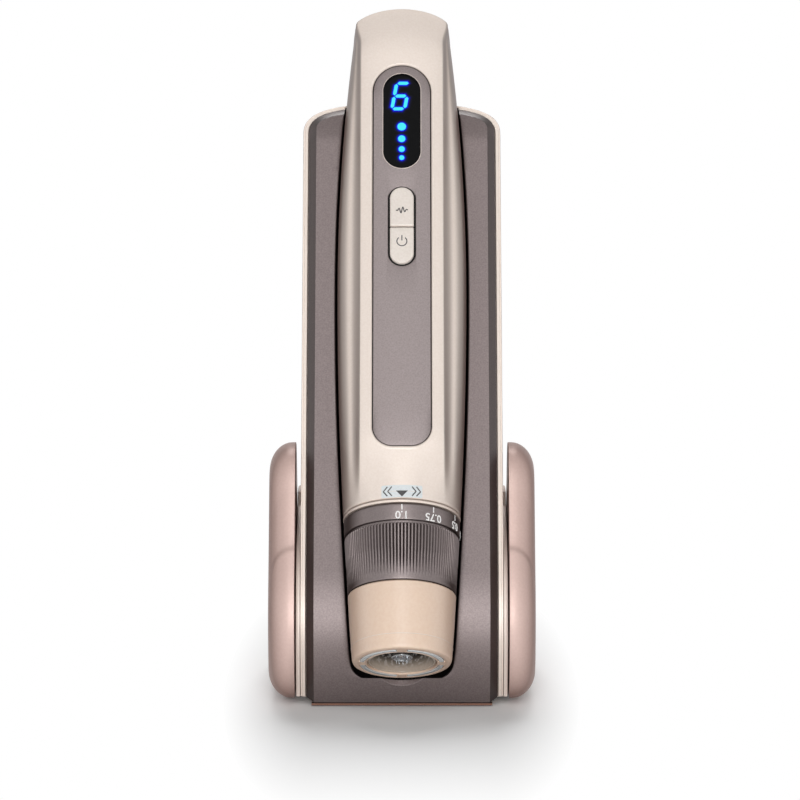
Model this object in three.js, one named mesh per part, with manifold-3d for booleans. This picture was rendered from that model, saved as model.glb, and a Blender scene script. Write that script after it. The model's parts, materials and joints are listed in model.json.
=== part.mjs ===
// Cordless microneedling pen standing nose down in its leaning charging dock.
// Millimetres. X runs to the viewer's right, Y away from the viewer, Z up.
// The pen has its own frame: z along its axis from the nose end face, -y its front.

import * as THREE from 'three';
import { mergeVertices } from 'three/addons/utils/BufferGeometryUtils.js';
import Module from 'manifold-3d';

const wasm = await Module();
wasm.setup();

// Clearances
const GAP = 0.3;
const TROUGH_CLEAR = 0.6;

// Dock slab
const LEAN = THREE.MathUtils.degToRad(29);
const SLAB_HALF = 25.3;
const SLAB_TOP_U = 127.4;
const SLAB_TOP_ROUND = 8;
const SLAB_CORNER_POWER = 2.8;
const CHIN_RADIUS = 36;
const CHIN_HEIGHT = 16.9;
const SHELL_WALL = 2.2;
const SHELL_EDGE = 0.5;
const SHELL_BACK_ROUND = 4;
const RIM_WIDTH = 1.1;
const RIM_SETBACK = 3.2;
const PANEL_BEVEL = 2;
const PANEL_BOTTOM = 1.1;
const SLAB_BOTTOM = 2;
const TROUGH_WALL = 1.5;
const TROUGH_END = 0.7;
const TROUGH_CORNER = 2.6;
const TROUGH_POWER = 5;
const NOTCH_RADIUS = 11.8;
const NOTCH_H = 1.15;
const TRIM_HALF = 22.5;
const TRIM_THICK = 0.5;
const TRIM_DEPTH = 2.2;

// Dock base
const BASE_HALF = SLAB_HALF + 1.1;
const BASE_TOP = 49;
const BASE_BACK_TOP = 49;
const BASE_BACK = 74;
const BASE_WALL = 2.4;
const BASE_BOTTOM = 2;
const BASE_CORNER = 6;
const FLARE_LOW = 21;
const FLARE_HIGH = 46;
const PLATE_THICK = 1.6;
const FOOT_RADIUS = 4;
const FOOT_X = BASE_HALF - 9.4;
const FOOT_RECESS = 0.8;
const WEIGHT_HEIGHT = 9;
const DOCK_BOARD_THICK = 1.2;
const SOCKET_WIDTH = 9;
const SOCKET_HEIGHT = 3.2;
const SOCKET_DEPTH = 7;
const SOCKET_WALL = 0.4;
const SOCKET_Z = 9;
const PIN_RADIUS = 0.9;
const PIN_SPACING = 7;
const PIN_STATION = 118;
const PIN_BLOCK_HALF = 7;
const PIN_BLOCK_THICK = 1.6;
const PIN_BLOCK_CLEAR = 0.9;

// Dock cheeks
const CHEEK_INNER = BASE_HALF + GAP;
const CHEEK_THICK = 6.6;
const CHEEK_BOTTOM = 1.1;
const CHEEK_TOP = 62.6;
const CHEEK_PILLOW = 7;
const CHEEK_FRONT = -1.6;
const CHEEK_LOBE_Z = 20;
const CHEEK_SHOULDER_Z = 42.4;
const CHEEK_SHOULDER_STEP = 1.8;
const CHEEK_REAR = 66;
const CHEEK_TOP_ROUND = 11;

// Pen body
const AXIS_PROUD = 1;
const NOSE_BELOW = 24.7;
const COLLAR_R = 14.6;
const BODY_START = 38.1;
const BELLY_S = 100;
const BELLY_HALF = 16.3;
const BELLY_REAR = 14.9;
const SEAT_DEPTH = BELLY_REAR - AXIS_PROUD + TROUGH_CLEAR + TROUGH_WALL + GAP;
const SLAB_DEPTH = SEAT_DEPTH + PIN_BLOCK_THICK + PIN_BLOCK_CLEAR + SHELL_WALL;
const TAIL_HALF = 12.35;
const TAIL_REAR = 11.7;
const TAIL_FRONT = 11.75;
const TAIL_S = 167.4;
const TAIL_ARCH = 4.6;
const TAIL_ARCH_S = 140;
const DOME_HEIGHT = 1.3;
const FACET_HALF = 10.4;
const FACET_SPREAD = 1;
const FACET_SPREAD_S = 156;
const FACET_CROWN = 0.45;
const FACET_STEP = 0.45;
const FACET_FULL_S = 68;
const SIDE_BREAK_H = 5.2;
const REAR_POWER = 2.3;
const BODY_WALL = 1.8;
const PARTING_H = -1;

// Face panel, window and buttons
const FACE_LOW = 52;
const FACE_HIGH = 156;
const FACE_HALF = 7.35;
const FACE_LOW_ROUND = 5;
const FACE_THICK = 1.3;
const FACE_SINK = 0.15;
const WINDOW_LOW = 127.1;
const WINDOW_HIGH = 153.4;
const WINDOW_HALF = 4.65;
const BUTTON_LOW = 99.7;
const BUTTON_SPLIT = 111.1;
const BUTTON_HIGH = 121.7;
const BUTTON_HALF = 3;
const BUTTON_PROUD = 0.45;
const BUTTON_DEEP = 2.6;
const BUTTON_TRAVEL = 0.5;

// Pen inner pieces
const BOARD_LOW = 88;
const BOARD_HIGH = 158;
const BOARD_HALF = 8;
const BOARD_THICK = 1;
const BOARD_H = 5.2;
const SWITCH_SIZE = 3;
const SWITCH_HEIGHT = 1.2;
const DISPLAY_HALF = 4.2;
const DISPLAY_GAP = 0.4;
const BATTERY_R = 7.2;
const BATTERY_LOW = 90;
const BATTERY_HIGH = 139;
const MOTOR_R = 8;
const MOTOR_LOW = 48;
const MOTOR_HIGH = 74;
const CHASSIS_THICK = 1.5;
const CHASSIS_LOW = 76.2;
const CHASSIS_DISC = 1.8;
const PAD_SINK = 0.35;
const CONTACT_RADIUS = 1.9;
const CONTACT_THICK = 0.8;

// Nose
const CUP_END_R = 12.3;
const CUP_TOP_R = 13.4;
const CUP_LENGTH = 17.2;
const CUP_CORNER = 0.9;
const CUP_INNER_R = 11.6;
const CUP_NECK_R = 12.45;
const CUP_NECK_LENGTH = 4;
const CUP_WEB_S = 7.6;
const CUP_WEB_THICK = 1.4;
const BOWL_R = 8.35;
const BOWL_WALL = 0.5;
const BOWL_FLOOR = 5.9;
const BOWL_GUIDE_S = 4.3;
const BOWL_GUIDE_R = 2.9;
const HUB_R = 2.75;
const HUB_S = 1.3;
const HUB_THICK = 1.2;
const BAR_R = 1.4;
const BAR_BORE = 1.85;
const YOKE_R = 4.2;
const YOKE_S = 39.8;
const YOKE_THICK = 1.3;
const NEEDLE_COUNT = 9;
const NEEDLE_RING_R = 1.7;
const NEEDLE_R = 0.2;
const NEEDLE_LENGTH = 1.6;
const RING_IN = 9.3;
const RING_OUT = 10.5;
const RING_DEEP = 1.1;
const RIB_WIDTH = 2.6;
const SKIRT_END = CUP_LENGTH + GAP;
const SKIRT_R = 13.5;
const KNURL_LOW = SKIRT_END + 1.4;
const KNURL_HIGH = 32;
const KNURL_LOW_R = 13.6;
const KNURL_HIGH_R = 14.3;
const KNURL_DEEP = 0.3;
const KNURL_COUNT = 104;
const GROOVE_HIGH = 32.7;
const GROOVE_R = 13.85;
const SCALE_HIGH = 36.8;
const SCALE_R = 14.5;
const SCALE_TAPER = 0.15;
const RING_COLLAR_LOW = 37.1;
const RING_COLLAR_HIGH = 37.8;
const SLEEVE_R = 11.6;
const SLEEVE_BORE = 9.8;
const SLEEVE_LOW = CUP_LENGTH + 1;
const SLEEVE_HIGH = 54;
const FLANGE_LOW = 40;
const FLANGE_HIGH = 43;
const SEAL_R = 3.6;
const SEAL_THICK = 1.2;
const CARRIAGE_R = 9.4;
const CARRIAGE_BORE = 5.6;
const CARRIAGE_LOW = 33;
const CARRIAGE_HIGH = 60;
const CARRIAGE_WEB = 2.4;
const CRANK_R = 4.8;
const CRANK_LOW = 43;
const CRANK_HIGH = 46;
const CRANK_PIN_R = 0.9;
const CRANK_OFFSET = 2.4;
const CRANK_PIN_LONG = 1.5;
const SHAFT_R = 1.2;

const CIRCLE = 32;

// Finishes
function paint(color, roughness, metalness) {
  return new THREE.MeshStandardMaterial({ color, roughness, metalness });
}
const champagne = paint(0xf0e4d7, 0.35, 0.25);
const taupe = paint(0x978c8b, 0.45, 0.35);
const darkTaupe = paint(0x4a4343, 0.5, 0.2);
const rose = paint(0xd9bdb3, 0.5, 0.1);
const rimCream = paint(0xf2e4d8, 0.35, 0.3);
const beige = paint(0xe3cdba, 0.4, 0.1);
const silver = paint(0xd6dee0, 0.2, 1);
const steel = paint(0xb8bcc0, 0.25, 1);
const copper = paint(0x785546, 0.35, 0.8);
const gold = paint(0xd9b46a, 0.3, 1);
const blackGlass = paint(0x101012, 0.08, 0);
const buttonCream = paint(0xfaf0e8, 0.4, 0);
const greyPlastic = paint(0x6e6c6c, 0.6, 0);
const boardGreen = paint(0x1f4d36, 0.6, 0);
const clear = paint(0xd8dcdd, 0.1, 0);
const rubber = paint(0x2a2828, 0.8, 0);
const blueWrap = paint(0x3a5a86, 0.5, 0);

// Closed solids from three.js geometry, and back again
function closed(geometry) {
  let g = geometry.clone();
  g.deleteAttribute('normal');
  g.deleteAttribute('uv');
  g = mergeVertices(g, 1e-4);
  const p = g.attributes.position;
  const kept = [];
  let volume = 0;
  const a = new THREE.Vector3();
  const b = new THREE.Vector3();
  const c = new THREE.Vector3();
  const index = g.index.array;
  for (let i = 0; i < index.length; i += 3) {
    const [i0, i1, i2] = [index[i], index[i + 1], index[i + 2]];
    if (i0 === i1 || i1 === i2 || i0 === i2) continue;
    a.fromBufferAttribute(p, i0);
    b.fromBufferAttribute(p, i1);
    c.fromBufferAttribute(p, i2);
    volume += a.dot(b.cross(c));
    kept.push(i0, i1, i2);
  }
  if (volume < 0) {
    for (let i = 0; i < kept.length; i += 3) {
      [kept[i + 1], kept[i + 2]] = [kept[i + 2], kept[i + 1]];
    }
  }
  g.setIndex(kept);
  return g;
}

function solid(geometry) {
  const g = closed(geometry);
  return new wasm.Manifold(new wasm.Mesh({
    numProp: 3,
    vertProperties: new Float32Array(g.attributes.position.array),
    triVerts: new Uint32Array(g.index.array),
  }));
}

function geometryOf(body) {
  const m = body.getMesh();
  const g = new THREE.BufferGeometry();
  g.setAttribute('position', new THREE.BufferAttribute(new Float32Array(m.vertProperties), 3));
  g.setIndex(new THREE.BufferAttribute(new Uint32Array(m.triVerts), 1));
  g.computeVertexNormals();
  return g;
}

function piece(group, name, body, material) {
  const geometry = body.isBufferGeometry ? closed(body) : geometryOf(body);
  geometry.computeVertexNormals();
  const mesh = new THREE.Mesh(geometry, material);
  mesh.name = name;
  group.add(mesh);
  return mesh;
}

// Rows of equal length joined into a closed skin with flat ends
function loft(rings) {
  const n = rings[0].length;
  const position = [];
  const index = [];
  for (const ring of rings) for (const p of ring) position.push(p.x, p.y, p.z);
  for (let i = 0; i + 1 < rings.length; i += 1) {
    for (let j = 0; j < n; j += 1) {
      const a = i * n + j;
      const b = i * n + (j + 1) % n;
      index.push(a, b, b + n, a, b + n, a + n);
    }
  }
  const cap = (row, flip) => {
    const middle = new THREE.Vector3();
    for (const p of rings[row]) middle.add(p);
    middle.divideScalar(n);
    const centre = position.length / 3;
    position.push(middle.x, middle.y, middle.z);
    for (let j = 0; j < n; j += 1) {
      const a = row * n + j;
      const b = row * n + (j + 1) % n;
      if (flip) index.push(centre, b, a);
      else index.push(centre, a, b);
    }
  };
  cap(0, true);
  cap(rings.length - 1, false);
  const g = new THREE.BufferGeometry();
  g.setAttribute('position', new THREE.Float32BufferAttribute(position, 3));
  g.setIndex(index);
  return g;
}

function block(x0, x1, y0, y1, z0, z1) {
  const g = new THREE.BoxGeometry(x1 - x0, y1 - y0, z1 - z0);
  return g.translate((x0 + x1) / 2, (y0 + y1) / 2, (z0 + z1) / 2);
}

// A rod along z
function rod(radius, z0, z1, x = 0, y = 0, sides = 24) {
  const g = new THREE.CylinderGeometry(radius, radius, z1 - z0, sides);
  return g.rotateX(Math.PI / 2).translate(x, y, (z0 + z1) / 2);
}

// A profile of [radius, station] corners turned round the z axis
function turned(corners, sides = CIRCLE) {
  const points = corners.map(([r, z]) => new THREE.Vector2(r, z));
  if (corners[0][0] > 0) points.push(points[0].clone());
  return new THREE.LatheGeometry(points, sides).rotateX(Math.PI / 2);
}

// A side profile of [y, z] corners spread across x
function across(shape, x0, x1) {
  const g = new THREE.ExtrudeGeometry(shape, { depth: x1 - x0, bevelEnabled: false, curveSegments: 10 });
  // shape x -> y, shape y -> z, extrusion -> x
  const m = new THREE.Matrix4().set(0, 0, 1, x0, 1, 0, 0, 0, 0, 1, 0, 0, 0, 0, 0, 1);
  return g.applyMatrix4(m);
}

function shapeOf(corners) {
  return new THREE.Shape(corners.map(([x, y]) => new THREE.Vector2(x, y)));
}

// Round-ended bar on the pen's front, from height h0 to h1 above its axis
function frontBar(half, low, high, h0, h1, lowRound = half, highRound = half) {
  const s = new THREE.Shape();
  s.moveTo(half, low + lowRound);
  s.lineTo(half, high - highRound);
  s.absellipse(half - highRound, high - highRound, highRound, highRound, 0, Math.PI / 2, false, 0);
  s.absellipse(highRound - half, high - highRound, highRound, highRound, Math.PI / 2, Math.PI, false, 0);
  s.lineTo(-half, low + lowRound);
  s.absellipse(lowRound - half, low + lowRound, lowRound, lowRound, Math.PI, 1.5 * Math.PI, false, 0);
  s.absellipse(half - lowRound, low + lowRound, lowRound, lowRound, 1.5 * Math.PI, 2 * Math.PI, false, 0);
  const g = new THREE.ExtrudeGeometry(s, { depth: h1 - h0, bevelEnabled: false, curveSegments: 6 });
  return g.translate(0, 0, h0).rotateX(Math.PI / 2);
}

// Dock slab: a path that rises from the floor round the chin and up the lean.
// u is measured along the path from where the lean begins.
const chinCentreY = CHIN_RADIUS;
const chinCentreZ = CHIN_HEIGHT;
const tangentY = chinCentreY - CHIN_RADIUS * Math.cos(LEAN);
const tangentZ = chinCentreZ + CHIN_RADIUS * Math.sin(LEAN);

function slabPoint(x, u, depth) {
  if (u >= 0) {
    return new THREE.Vector3(
      x,
      tangentY + u * Math.sin(LEAN) + depth * Math.cos(LEAN),
      tangentZ + u * Math.cos(LEAN) - depth * Math.sin(LEAN),
    );
  }
  const turn = LEAN + u / CHIN_RADIUS;
  const r = CHIN_RADIUS - depth;
  return new THREE.Vector3(x, chinCentreY - r * Math.cos(turn), chinCentreZ + r * Math.sin(turn));
}

const CHIN_LOW_U = -(CHIN_RADIUS * (LEAN + 0.75));
const CHIN_ROWS = 14;
const TOP_ROWS = 9;

// One outline of the slab, drawn in by inset, at a depth behind its front
function slabOutline(half, top, depth) {
  const right = [];
  for (let i = 0; i <= CHIN_ROWS; i += 1) {
    right.push([half, CHIN_LOW_U * (1 - i / CHIN_ROWS)]);
  }
  const start = SLAB_TOP_U - SLAB_TOP_ROUND;
  const rise = top - start;
  const power = 2 / SLAB_CORNER_POWER;
  for (let i = 0; i < TOP_ROWS; i += 1) {
    const t = (i / TOP_ROWS) * Math.PI / 2;
    right.push([half * Math.cos(t) ** power, start + rise * Math.sin(t) ** power]);
  }
  right.push([half * 0.06, top]);
  return right.map(([x, u]) => [slabPoint(-x, u, depth), slabPoint(x, u, depth)]);
}

// Outlines stacked front to back into one closed body
function slabStack(layers) {
  const rows = layers.map(([inset, depth]) => slabOutline(SLAB_HALF - inset, SLAB_TOP_U - inset, depth));
  const count = rows[0].length;
  const position = [];
  const index = [];
  const id = (layer, row, side) => (layer * count + row) * 2 + side;
  for (const layer of rows) for (const pair of layer) for (const p of pair) position.push(p.x, p.y, p.z);
  const quad = (a, b, c, d) => index.push(a, b, c, a, c, d);
  const last = rows.length - 1;
  for (let r = 0; r + 1 < count; r += 1) {
    quad(id(0, r, 0), id(0, r, 1), id(0, r + 1, 1), id(0, r + 1, 0));
    quad(id(last, r, 1), id(last, r, 0), id(last, r + 1, 0), id(last, r + 1, 1));
    for (let k = 0; k < last; k += 1) {
      quad(id(k, r, 1), id(k + 1, r, 1), id(k + 1, r + 1, 1), id(k, r + 1, 1));
      quad(id(k + 1, r, 0), id(k, r, 0), id(k, r + 1, 0), id(k + 1, r + 1, 0));
    }
  }
  for (let k = 0; k < last; k += 1) {
    quad(id(k, 0, 0), id(k + 1, 0, 0), id(k + 1, 0, 1), id(k, 0, 1));
    quad(id(k, count - 1, 1), id(k + 1, count - 1, 1), id(k + 1, count - 1, 0), id(k, count - 1, 0));
  }
  const g = new THREE.BufferGeometry();
  g.setAttribute('position', new THREE.Float32BufferAttribute(position, 3));
  g.setIndex(index);
  return g;
}

// Pen frame in the dock
const noseBase = slabPoint(0, 0, -AXIS_PROUD);
const noseY = noseBase.y - NOSE_BELOW * Math.sin(LEAN);
const noseZ = noseBase.z - NOSE_BELOW * Math.cos(LEAN);
const penMatrix = new THREE.Matrix4().makeRotationX(-LEAN).setPosition(0, noseY, noseZ);

// Pen outline: half width, front height and rear height at a station
function bellyCurve(s, collar, belly, tail) {
  if (s < BELLY_S) return belly - (belly - collar) * ((BELLY_S - s) / (BELLY_S - BODY_START)) ** 2;
  return belly - (belly - tail) * ((s - BELLY_S) / (TAIL_S - BELLY_S)) ** 2;
}
function bodyHalf(s) {
  return bellyCurve(s, COLLAR_R, BELLY_HALF, TAIL_HALF);
}
function bodyRear(s) {
  return bellyCurve(s, COLLAR_R, BELLY_REAR, TAIL_REAR);
}
function bodyFront(s) {
  const t = Math.max(0, (s - FACE_LOW) / (TAIL_S - FACE_LOW));
  return COLLAR_R - (COLLAR_R - TAIL_FRONT) * t ** 1.3;
}

function penRing(s, inset, scale = 1) {
  const w = bodyHalf(Math.min(s, TAIL_S));
  const front = bodyFront(Math.min(s, TAIL_S));
  const rear = bodyRear(Math.min(s, TAIL_S));
  const facet = THREE.MathUtils.smoothstep(s, BODY_START, FACET_FULL_S);
  const facetHalf = FACET_HALF + FACET_SPREAD * THREE.MathUtils.smoothstep(s, FACET_SPREAD_S, TAIL_S);
  const right = [];
  for (let j = 0; j <= 3; j += 1) {
    const x = facetHalf * j / 3;
    right.push([x, front + FACET_CROWN * (1 - (j / 3) ** 2)]);
  }
  const edge = [facetHalf + FACET_STEP * 0.7, front - FACET_STEP];
  const low = [w - 0.7, SIDE_BREAK_H];
  right.push(edge);
  for (let j = 1; j <= 3; j += 1) {
    const t = j / 3;
    const bow = 0.5 * Math.sin(Math.PI * t);
    right.push([edge[0] + (low[0] - edge[0]) * t + bow * 0.7, edge[1] + (low[1] - edge[1]) * t + bow * 0.5]);
  }
  right.push([w - 0.12, SIDE_BREAK_H / 2]);
  for (let j = 0; j <= 6; j += 1) {
    const t = j / 6 * Math.PI / 2;
    right.push([w * Math.cos(t) ** (2 / REAR_POWER), -rear * Math.sin(t) ** (2 / REAR_POWER)]);
  }
  const whole = right.concat(right.slice(1, -1).reverse().map(([x, h]) => [-x, h]));
  return whole.map(([x, h]) => {
    const far = Math.hypot(x, h);
    const px = THREE.MathUtils.lerp(COLLAR_R * x / far, x, facet);
    const ph = THREE.MathUtils.lerp(COLLAR_R * h / far, h, facet);
    const k = scale * (1 - inset / Math.hypot(px, ph));
    return [px * k, ph * k];
  });
}

// The tail ends in an arch across the pen, which fades out below it
function archLift(x, s) {
  const share = THREE.MathUtils.smoothstep(s, TAIL_ARCH_S, TAIL_S);
  return TAIL_ARCH * share * Math.max(0, 1 - (x / TAIL_HALF) ** 2);
}

function penLoft(inset, low, high, steps = 13) {
  const rings = [];
  const end = TAIL_S - inset;
  const top = Math.min(high, end);
  const place = (ring, s, lift) => ring.map(([x, h]) => new THREE.Vector3(x, -h, s + archLift(x, lift)));
  for (let i = 0; i <= steps; i += 1) {
    const s = low + (top - low) * i / steps;
    rings.push(place(penRing(s, inset), s, s));
  }
  if (high > TAIL_S) {
    for (const c of [0.985, 0.94, 0.84, 0.6, 0.3]) {
      const s = end + 0.15 + DOME_HEIGHT * (1 - c * c);
      rings.push(place(penRing(end, inset, c), s, TAIL_S));
    }
  }
  return loft(rings);
}

// Whole pen outline that the trough follows, nose included
function seatHalf(s) {
  if (s < CUP_LENGTH) return CUP_END_R + (CUP_TOP_R - CUP_END_R) * Math.max(0, s) / CUP_LENGTH;
  if (s < BODY_START) return THREE.MathUtils.lerp(CUP_TOP_R, COLLAR_R, (s - CUP_LENGTH) / (BODY_START - CUP_LENGTH));
  return bodyHalf(s);
}
function seatRear(s) {
  return s < BODY_START ? seatHalf(s) : bodyRear(s);
}
function troughRing(s, extra, drawIn = 0) {
  const w = seatHalf(s) + extra - drawIn;
  const d = seatRear(s) + extra;
  const share = THREE.MathUtils.clamp((s - CUP_LENGTH) / (BODY_START - CUP_LENGTH), 0, 1);
  const power = THREE.MathUtils.lerp(TROUGH_POWER, REAR_POWER, share);
  const right = [[w, 40], [w, 0]];
  for (let j = 1; j <= 7; j += 1) {
    const t = j / 7 * Math.PI / 2;
    right.push([w * Math.cos(t) ** (2 / power), -d * Math.sin(t) ** (2 / power)]);
  }
  const whole = right.concat(right.slice(0, -1).reverse().map(([x, h]) => [-x, h]));
  return whole.map(([x, h]) => new THREE.Vector3(x, -h, s));
}
function troughLoft(extra, low) {
  // square to the axis at its low end, with rounded corners there
  const rings = [0, 0.25, 0.6, 1].map((t) => troughRing(
    low + TROUGH_CORNER * t,
    extra,
    TROUGH_CORNER * (1 - Math.sqrt(1 - (1 - t) ** 2)),
  ));
  const stations = [CUP_LENGTH, (CUP_LENGTH + BODY_START) / 2, BODY_START];
  for (let s = BODY_START + 17; s <= 200; s += 17) stations.push(s);
  for (const s of stations) rings.push(troughRing(s, extra));
  return loft(rings).applyMatrix4(penMatrix);
}

const dock = new THREE.Group();
const pen = new THREE.Group();
pen.applyMatrix4(penMatrix);

const farBelow = -60;
function above(z) {
  return solid(block(-80, 80, -80, 160, z, 260));
}

// Dock front panel with its trough
const panelBack = RIM_SETBACK - GAP;
const panelSkin = solid(slabStack([
  [RIM_WIDTH + PANEL_BEVEL, 0],
  [RIM_WIDTH + PANEL_BEVEL * 0.35, PANEL_BEVEL * 0.45],
  [RIM_WIDTH, PANEL_BEVEL],
  [RIM_WIDTH, panelBack],
]));
const troughVoid = solid(troughLoft(TROUGH_CLEAR, -TROUGH_END));
const troughBody = solid(troughLoft(TROUGH_CLEAR + TROUGH_WALL, -TROUGH_END - TROUGH_WALL));
const innerSlab = solid(slabStack([
  [SHELL_WALL + GAP, PANEL_BEVEL],
  [SHELL_WALL + GAP, SLAB_DEPTH - SHELL_WALL - GAP],
]));
const notch = solid(rod(NOTCH_RADIUS, -20, TROUGH_END, 0, -NOTCH_H, 40).applyMatrix4(penMatrix));
const penContactH = -bodyRear(PIN_STATION);
function acrossTrough(radius, x, from, to) {
  const g = new THREE.CylinderGeometry(radius, radius, to - from, 20);
  return g.translate(x, -(from + to) / 2, PIN_STATION).applyMatrix4(penMatrix);
}
let frontPanel = panelSkin.add(troughBody.intersect(innerSlab)).subtract(troughVoid).subtract(notch);
frontPanel = frontPanel.intersect(above(PANEL_BOTTOM));
const pinTip = penContactH - GAP;
const pinFoot = penContactH - TROUGH_CLEAR - TROUGH_WALL - GAP;
for (const side of [-1, 1]) {
  frontPanel = frontPanel.subtract(solid(acrossTrough(PIN_RADIUS + GAP, side * PIN_SPACING / 2, pinFoot - 4, pinTip + 4)));
}
piece(dock, 'dock_front_panel', frontPanel, taupe);

// Dock back shell: an open tray with the rim as its front edge
const shellOuter = solid(slabStack([
  [SHELL_EDGE, RIM_SETBACK],
  [0, RIM_SETBACK + SHELL_EDGE],
  [0, SLAB_DEPTH - SHELL_BACK_ROUND],
  [SHELL_BACK_ROUND * 0.3, SLAB_DEPTH - SHELL_BACK_ROUND * 0.3],
  [SHELL_BACK_ROUND, SLAB_DEPTH],
]));
const shellInner = solid(slabStack([
  [SHELL_WALL, RIM_SETBACK - 1],
  [SHELL_WALL, SLAB_DEPTH - SHELL_WALL - 1],
  [SHELL_WALL + 1, SLAB_DEPTH - SHELL_WALL],
]));
const trimClear = chinCentreY - Math.sqrt((CHIN_RADIUS - RIM_SETBACK) ** 2 - (SLAB_BOTTOM - chinCentreZ) ** 2);
const troughPass = solid(troughLoft(TROUGH_CLEAR + TROUGH_WALL + GAP, -TROUGH_END - TROUGH_WALL - GAP));
const shellFloor = shellInner.intersect(above(SLAB_BOTTOM + SHELL_WALL));
let backShell = shellOuter.subtract(shellFloor).subtract(troughPass);
backShell = backShell.intersect(above(SLAB_BOTTOM));
const shellFootY = trimClear + FOOT_RADIUS + 4;
for (const side of [-1, 1]) {
  const recess = rod(FOOT_RADIUS + GAP, SLAB_BOTTOM - 3, SLAB_BOTTOM + FOOT_RECESS, side * FOOT_X, shellFootY);
  backShell = backShell.subtract(solid(recess));
}
piece(dock, 'dock_back_shell', backShell, rimCream);

// Copper strip under the panel's front edge
const trimY = chinCentreY - Math.sqrt(CHIN_RADIUS ** 2 - (PANEL_BOTTOM - chinCentreZ) ** 2) + 0.35;
const trimTop = PANEL_BOTTOM - GAP;
const trimProfile = shapeOf([
  [trimY, trimTop - TRIM_THICK],
  [trimY + TRIM_DEPTH, trimTop - TRIM_THICK],
  [trimY + TRIM_DEPTH, trimTop],
  [trimY, trimTop],
]);
piece(dock, 'dock_copper_trim', solid(across(trimProfile, -TRIM_HALF, TRIM_HALF)), copper);

// Charging pins, their carrier block and the pads on the pen
const pinBlockTop = pinFoot;
const pinBlock = solid(block(-PIN_BLOCK_HALF, PIN_BLOCK_HALF, -pinBlockTop, -pinBlockTop + PIN_BLOCK_THICK,
  PIN_STATION - 5, PIN_STATION + 5).applyMatrix4(penMatrix));
piece(dock, 'charge_pin_block', pinBlock, greyPlastic);
for (const [name, side] of [['charge_pin_left', -1], ['charge_pin_right', 1]]) {
  const pin = solid(acrossTrough(PIN_RADIUS, side * PIN_SPACING / 2, pinBlockTop + GAP, pinTip));
  piece(dock, name, pin, gold);
}

// Dock base block
function rimAt(z, depth) {
  // front face of the rim at a height
  const up = (z - tangentZ + depth * Math.sin(LEAN)) / Math.cos(LEAN);
  if (up >= 0) return slabPoint(0, up, depth).y;
  const r = CHIN_RADIUS - depth;
  return chinCentreY - Math.sqrt(Math.max(0, r * r - (z - chinCentreZ) ** 2));
}
const baseShape = new THREE.Shape();
const frontSteps = 6;
baseShape.moveTo(rimAt(BASE_BOTTOM, RIM_SETBACK), BASE_BOTTOM);
for (let i = 1; i <= frontSteps; i += 1) {
  const z = BASE_BOTTOM + (FLARE_LOW - BASE_BOTTOM) * i / frontSteps;
  baseShape.lineTo(rimAt(z, RIM_SETBACK), z);
}
baseShape.quadraticCurveTo(
  rimAt(FLARE_LOW, RIM_SETBACK) + 1,
  FLARE_HIGH - 8,
  rimAt(FLARE_HIGH, SLAB_DEPTH),
  FLARE_HIGH,
);
baseShape.lineTo(rimAt(BASE_TOP, SLAB_DEPTH), BASE_TOP);
baseShape.lineTo(BASE_BACK_TOP - BASE_CORNER * 0.5, BASE_TOP);
baseShape.quadraticCurveTo(BASE_BACK_TOP + 2, BASE_TOP, BASE_BACK_TOP + 4.5, BASE_TOP - BASE_CORNER);
baseShape.lineTo(BASE_BACK - 2, BASE_BOTTOM + 6);
baseShape.quadraticCurveTo(BASE_BACK, BASE_BOTTOM + 2.5, BASE_BACK - 0.5, BASE_BOTTOM);
const baseOuter = solid(across(baseShape, -BASE_HALF, BASE_HALF));
const slabKeepOut = solid(slabStack([
  [-GAP, RIM_SETBACK - 8],
  [-GAP, SLAB_DEPTH + GAP],
]));
const cavityFront = rimAt(BASE_BOTTOM, SLAB_DEPTH) + BASE_WALL + 1.3;
const cavity = new THREE.Shape();
cavity.moveTo(cavityFront, BASE_BOTTOM - 1);
cavity.lineTo(cavityFront, BASE_TOP - 10);
cavity.lineTo(BASE_BACK_TOP - 3, BASE_TOP - 10);
cavity.lineTo(BASE_BACK - 5, BASE_BOTTOM + 6);
cavity.lineTo(BASE_BACK - 5, BASE_BOTTOM - 1);
const cavityHalf = BASE_HALF - BASE_WALL;
const cavitySolid = solid(across(cavity, -cavityHalf, cavityHalf));
const socketY = BASE_BACK - 2.4;
const socketHole = solid(block(-SOCKET_WIDTH / 2 - GAP, SOCKET_WIDTH / 2 + GAP, socketY - 6, BASE_BACK + 6,
  SOCKET_Z - SOCKET_HEIGHT / 2 - GAP, SOCKET_Z + SOCKET_HEIGHT / 2 + GAP));
function footHole(x, y) {
  return solid(rod(FOOT_RADIUS + GAP, BASE_BOTTOM - 3, BASE_BOTTOM + FOOT_RECESS, x, y));
}
const frontFootY = shellFootY;
let base = baseOuter.subtract(slabKeepOut).subtract(cavitySolid).subtract(socketHole);
for (const side of [-1, 1]) base = base.subtract(footHole(side * FOOT_X, frontFootY));
piece(dock, 'dock_base_block', base, champagne);

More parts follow.
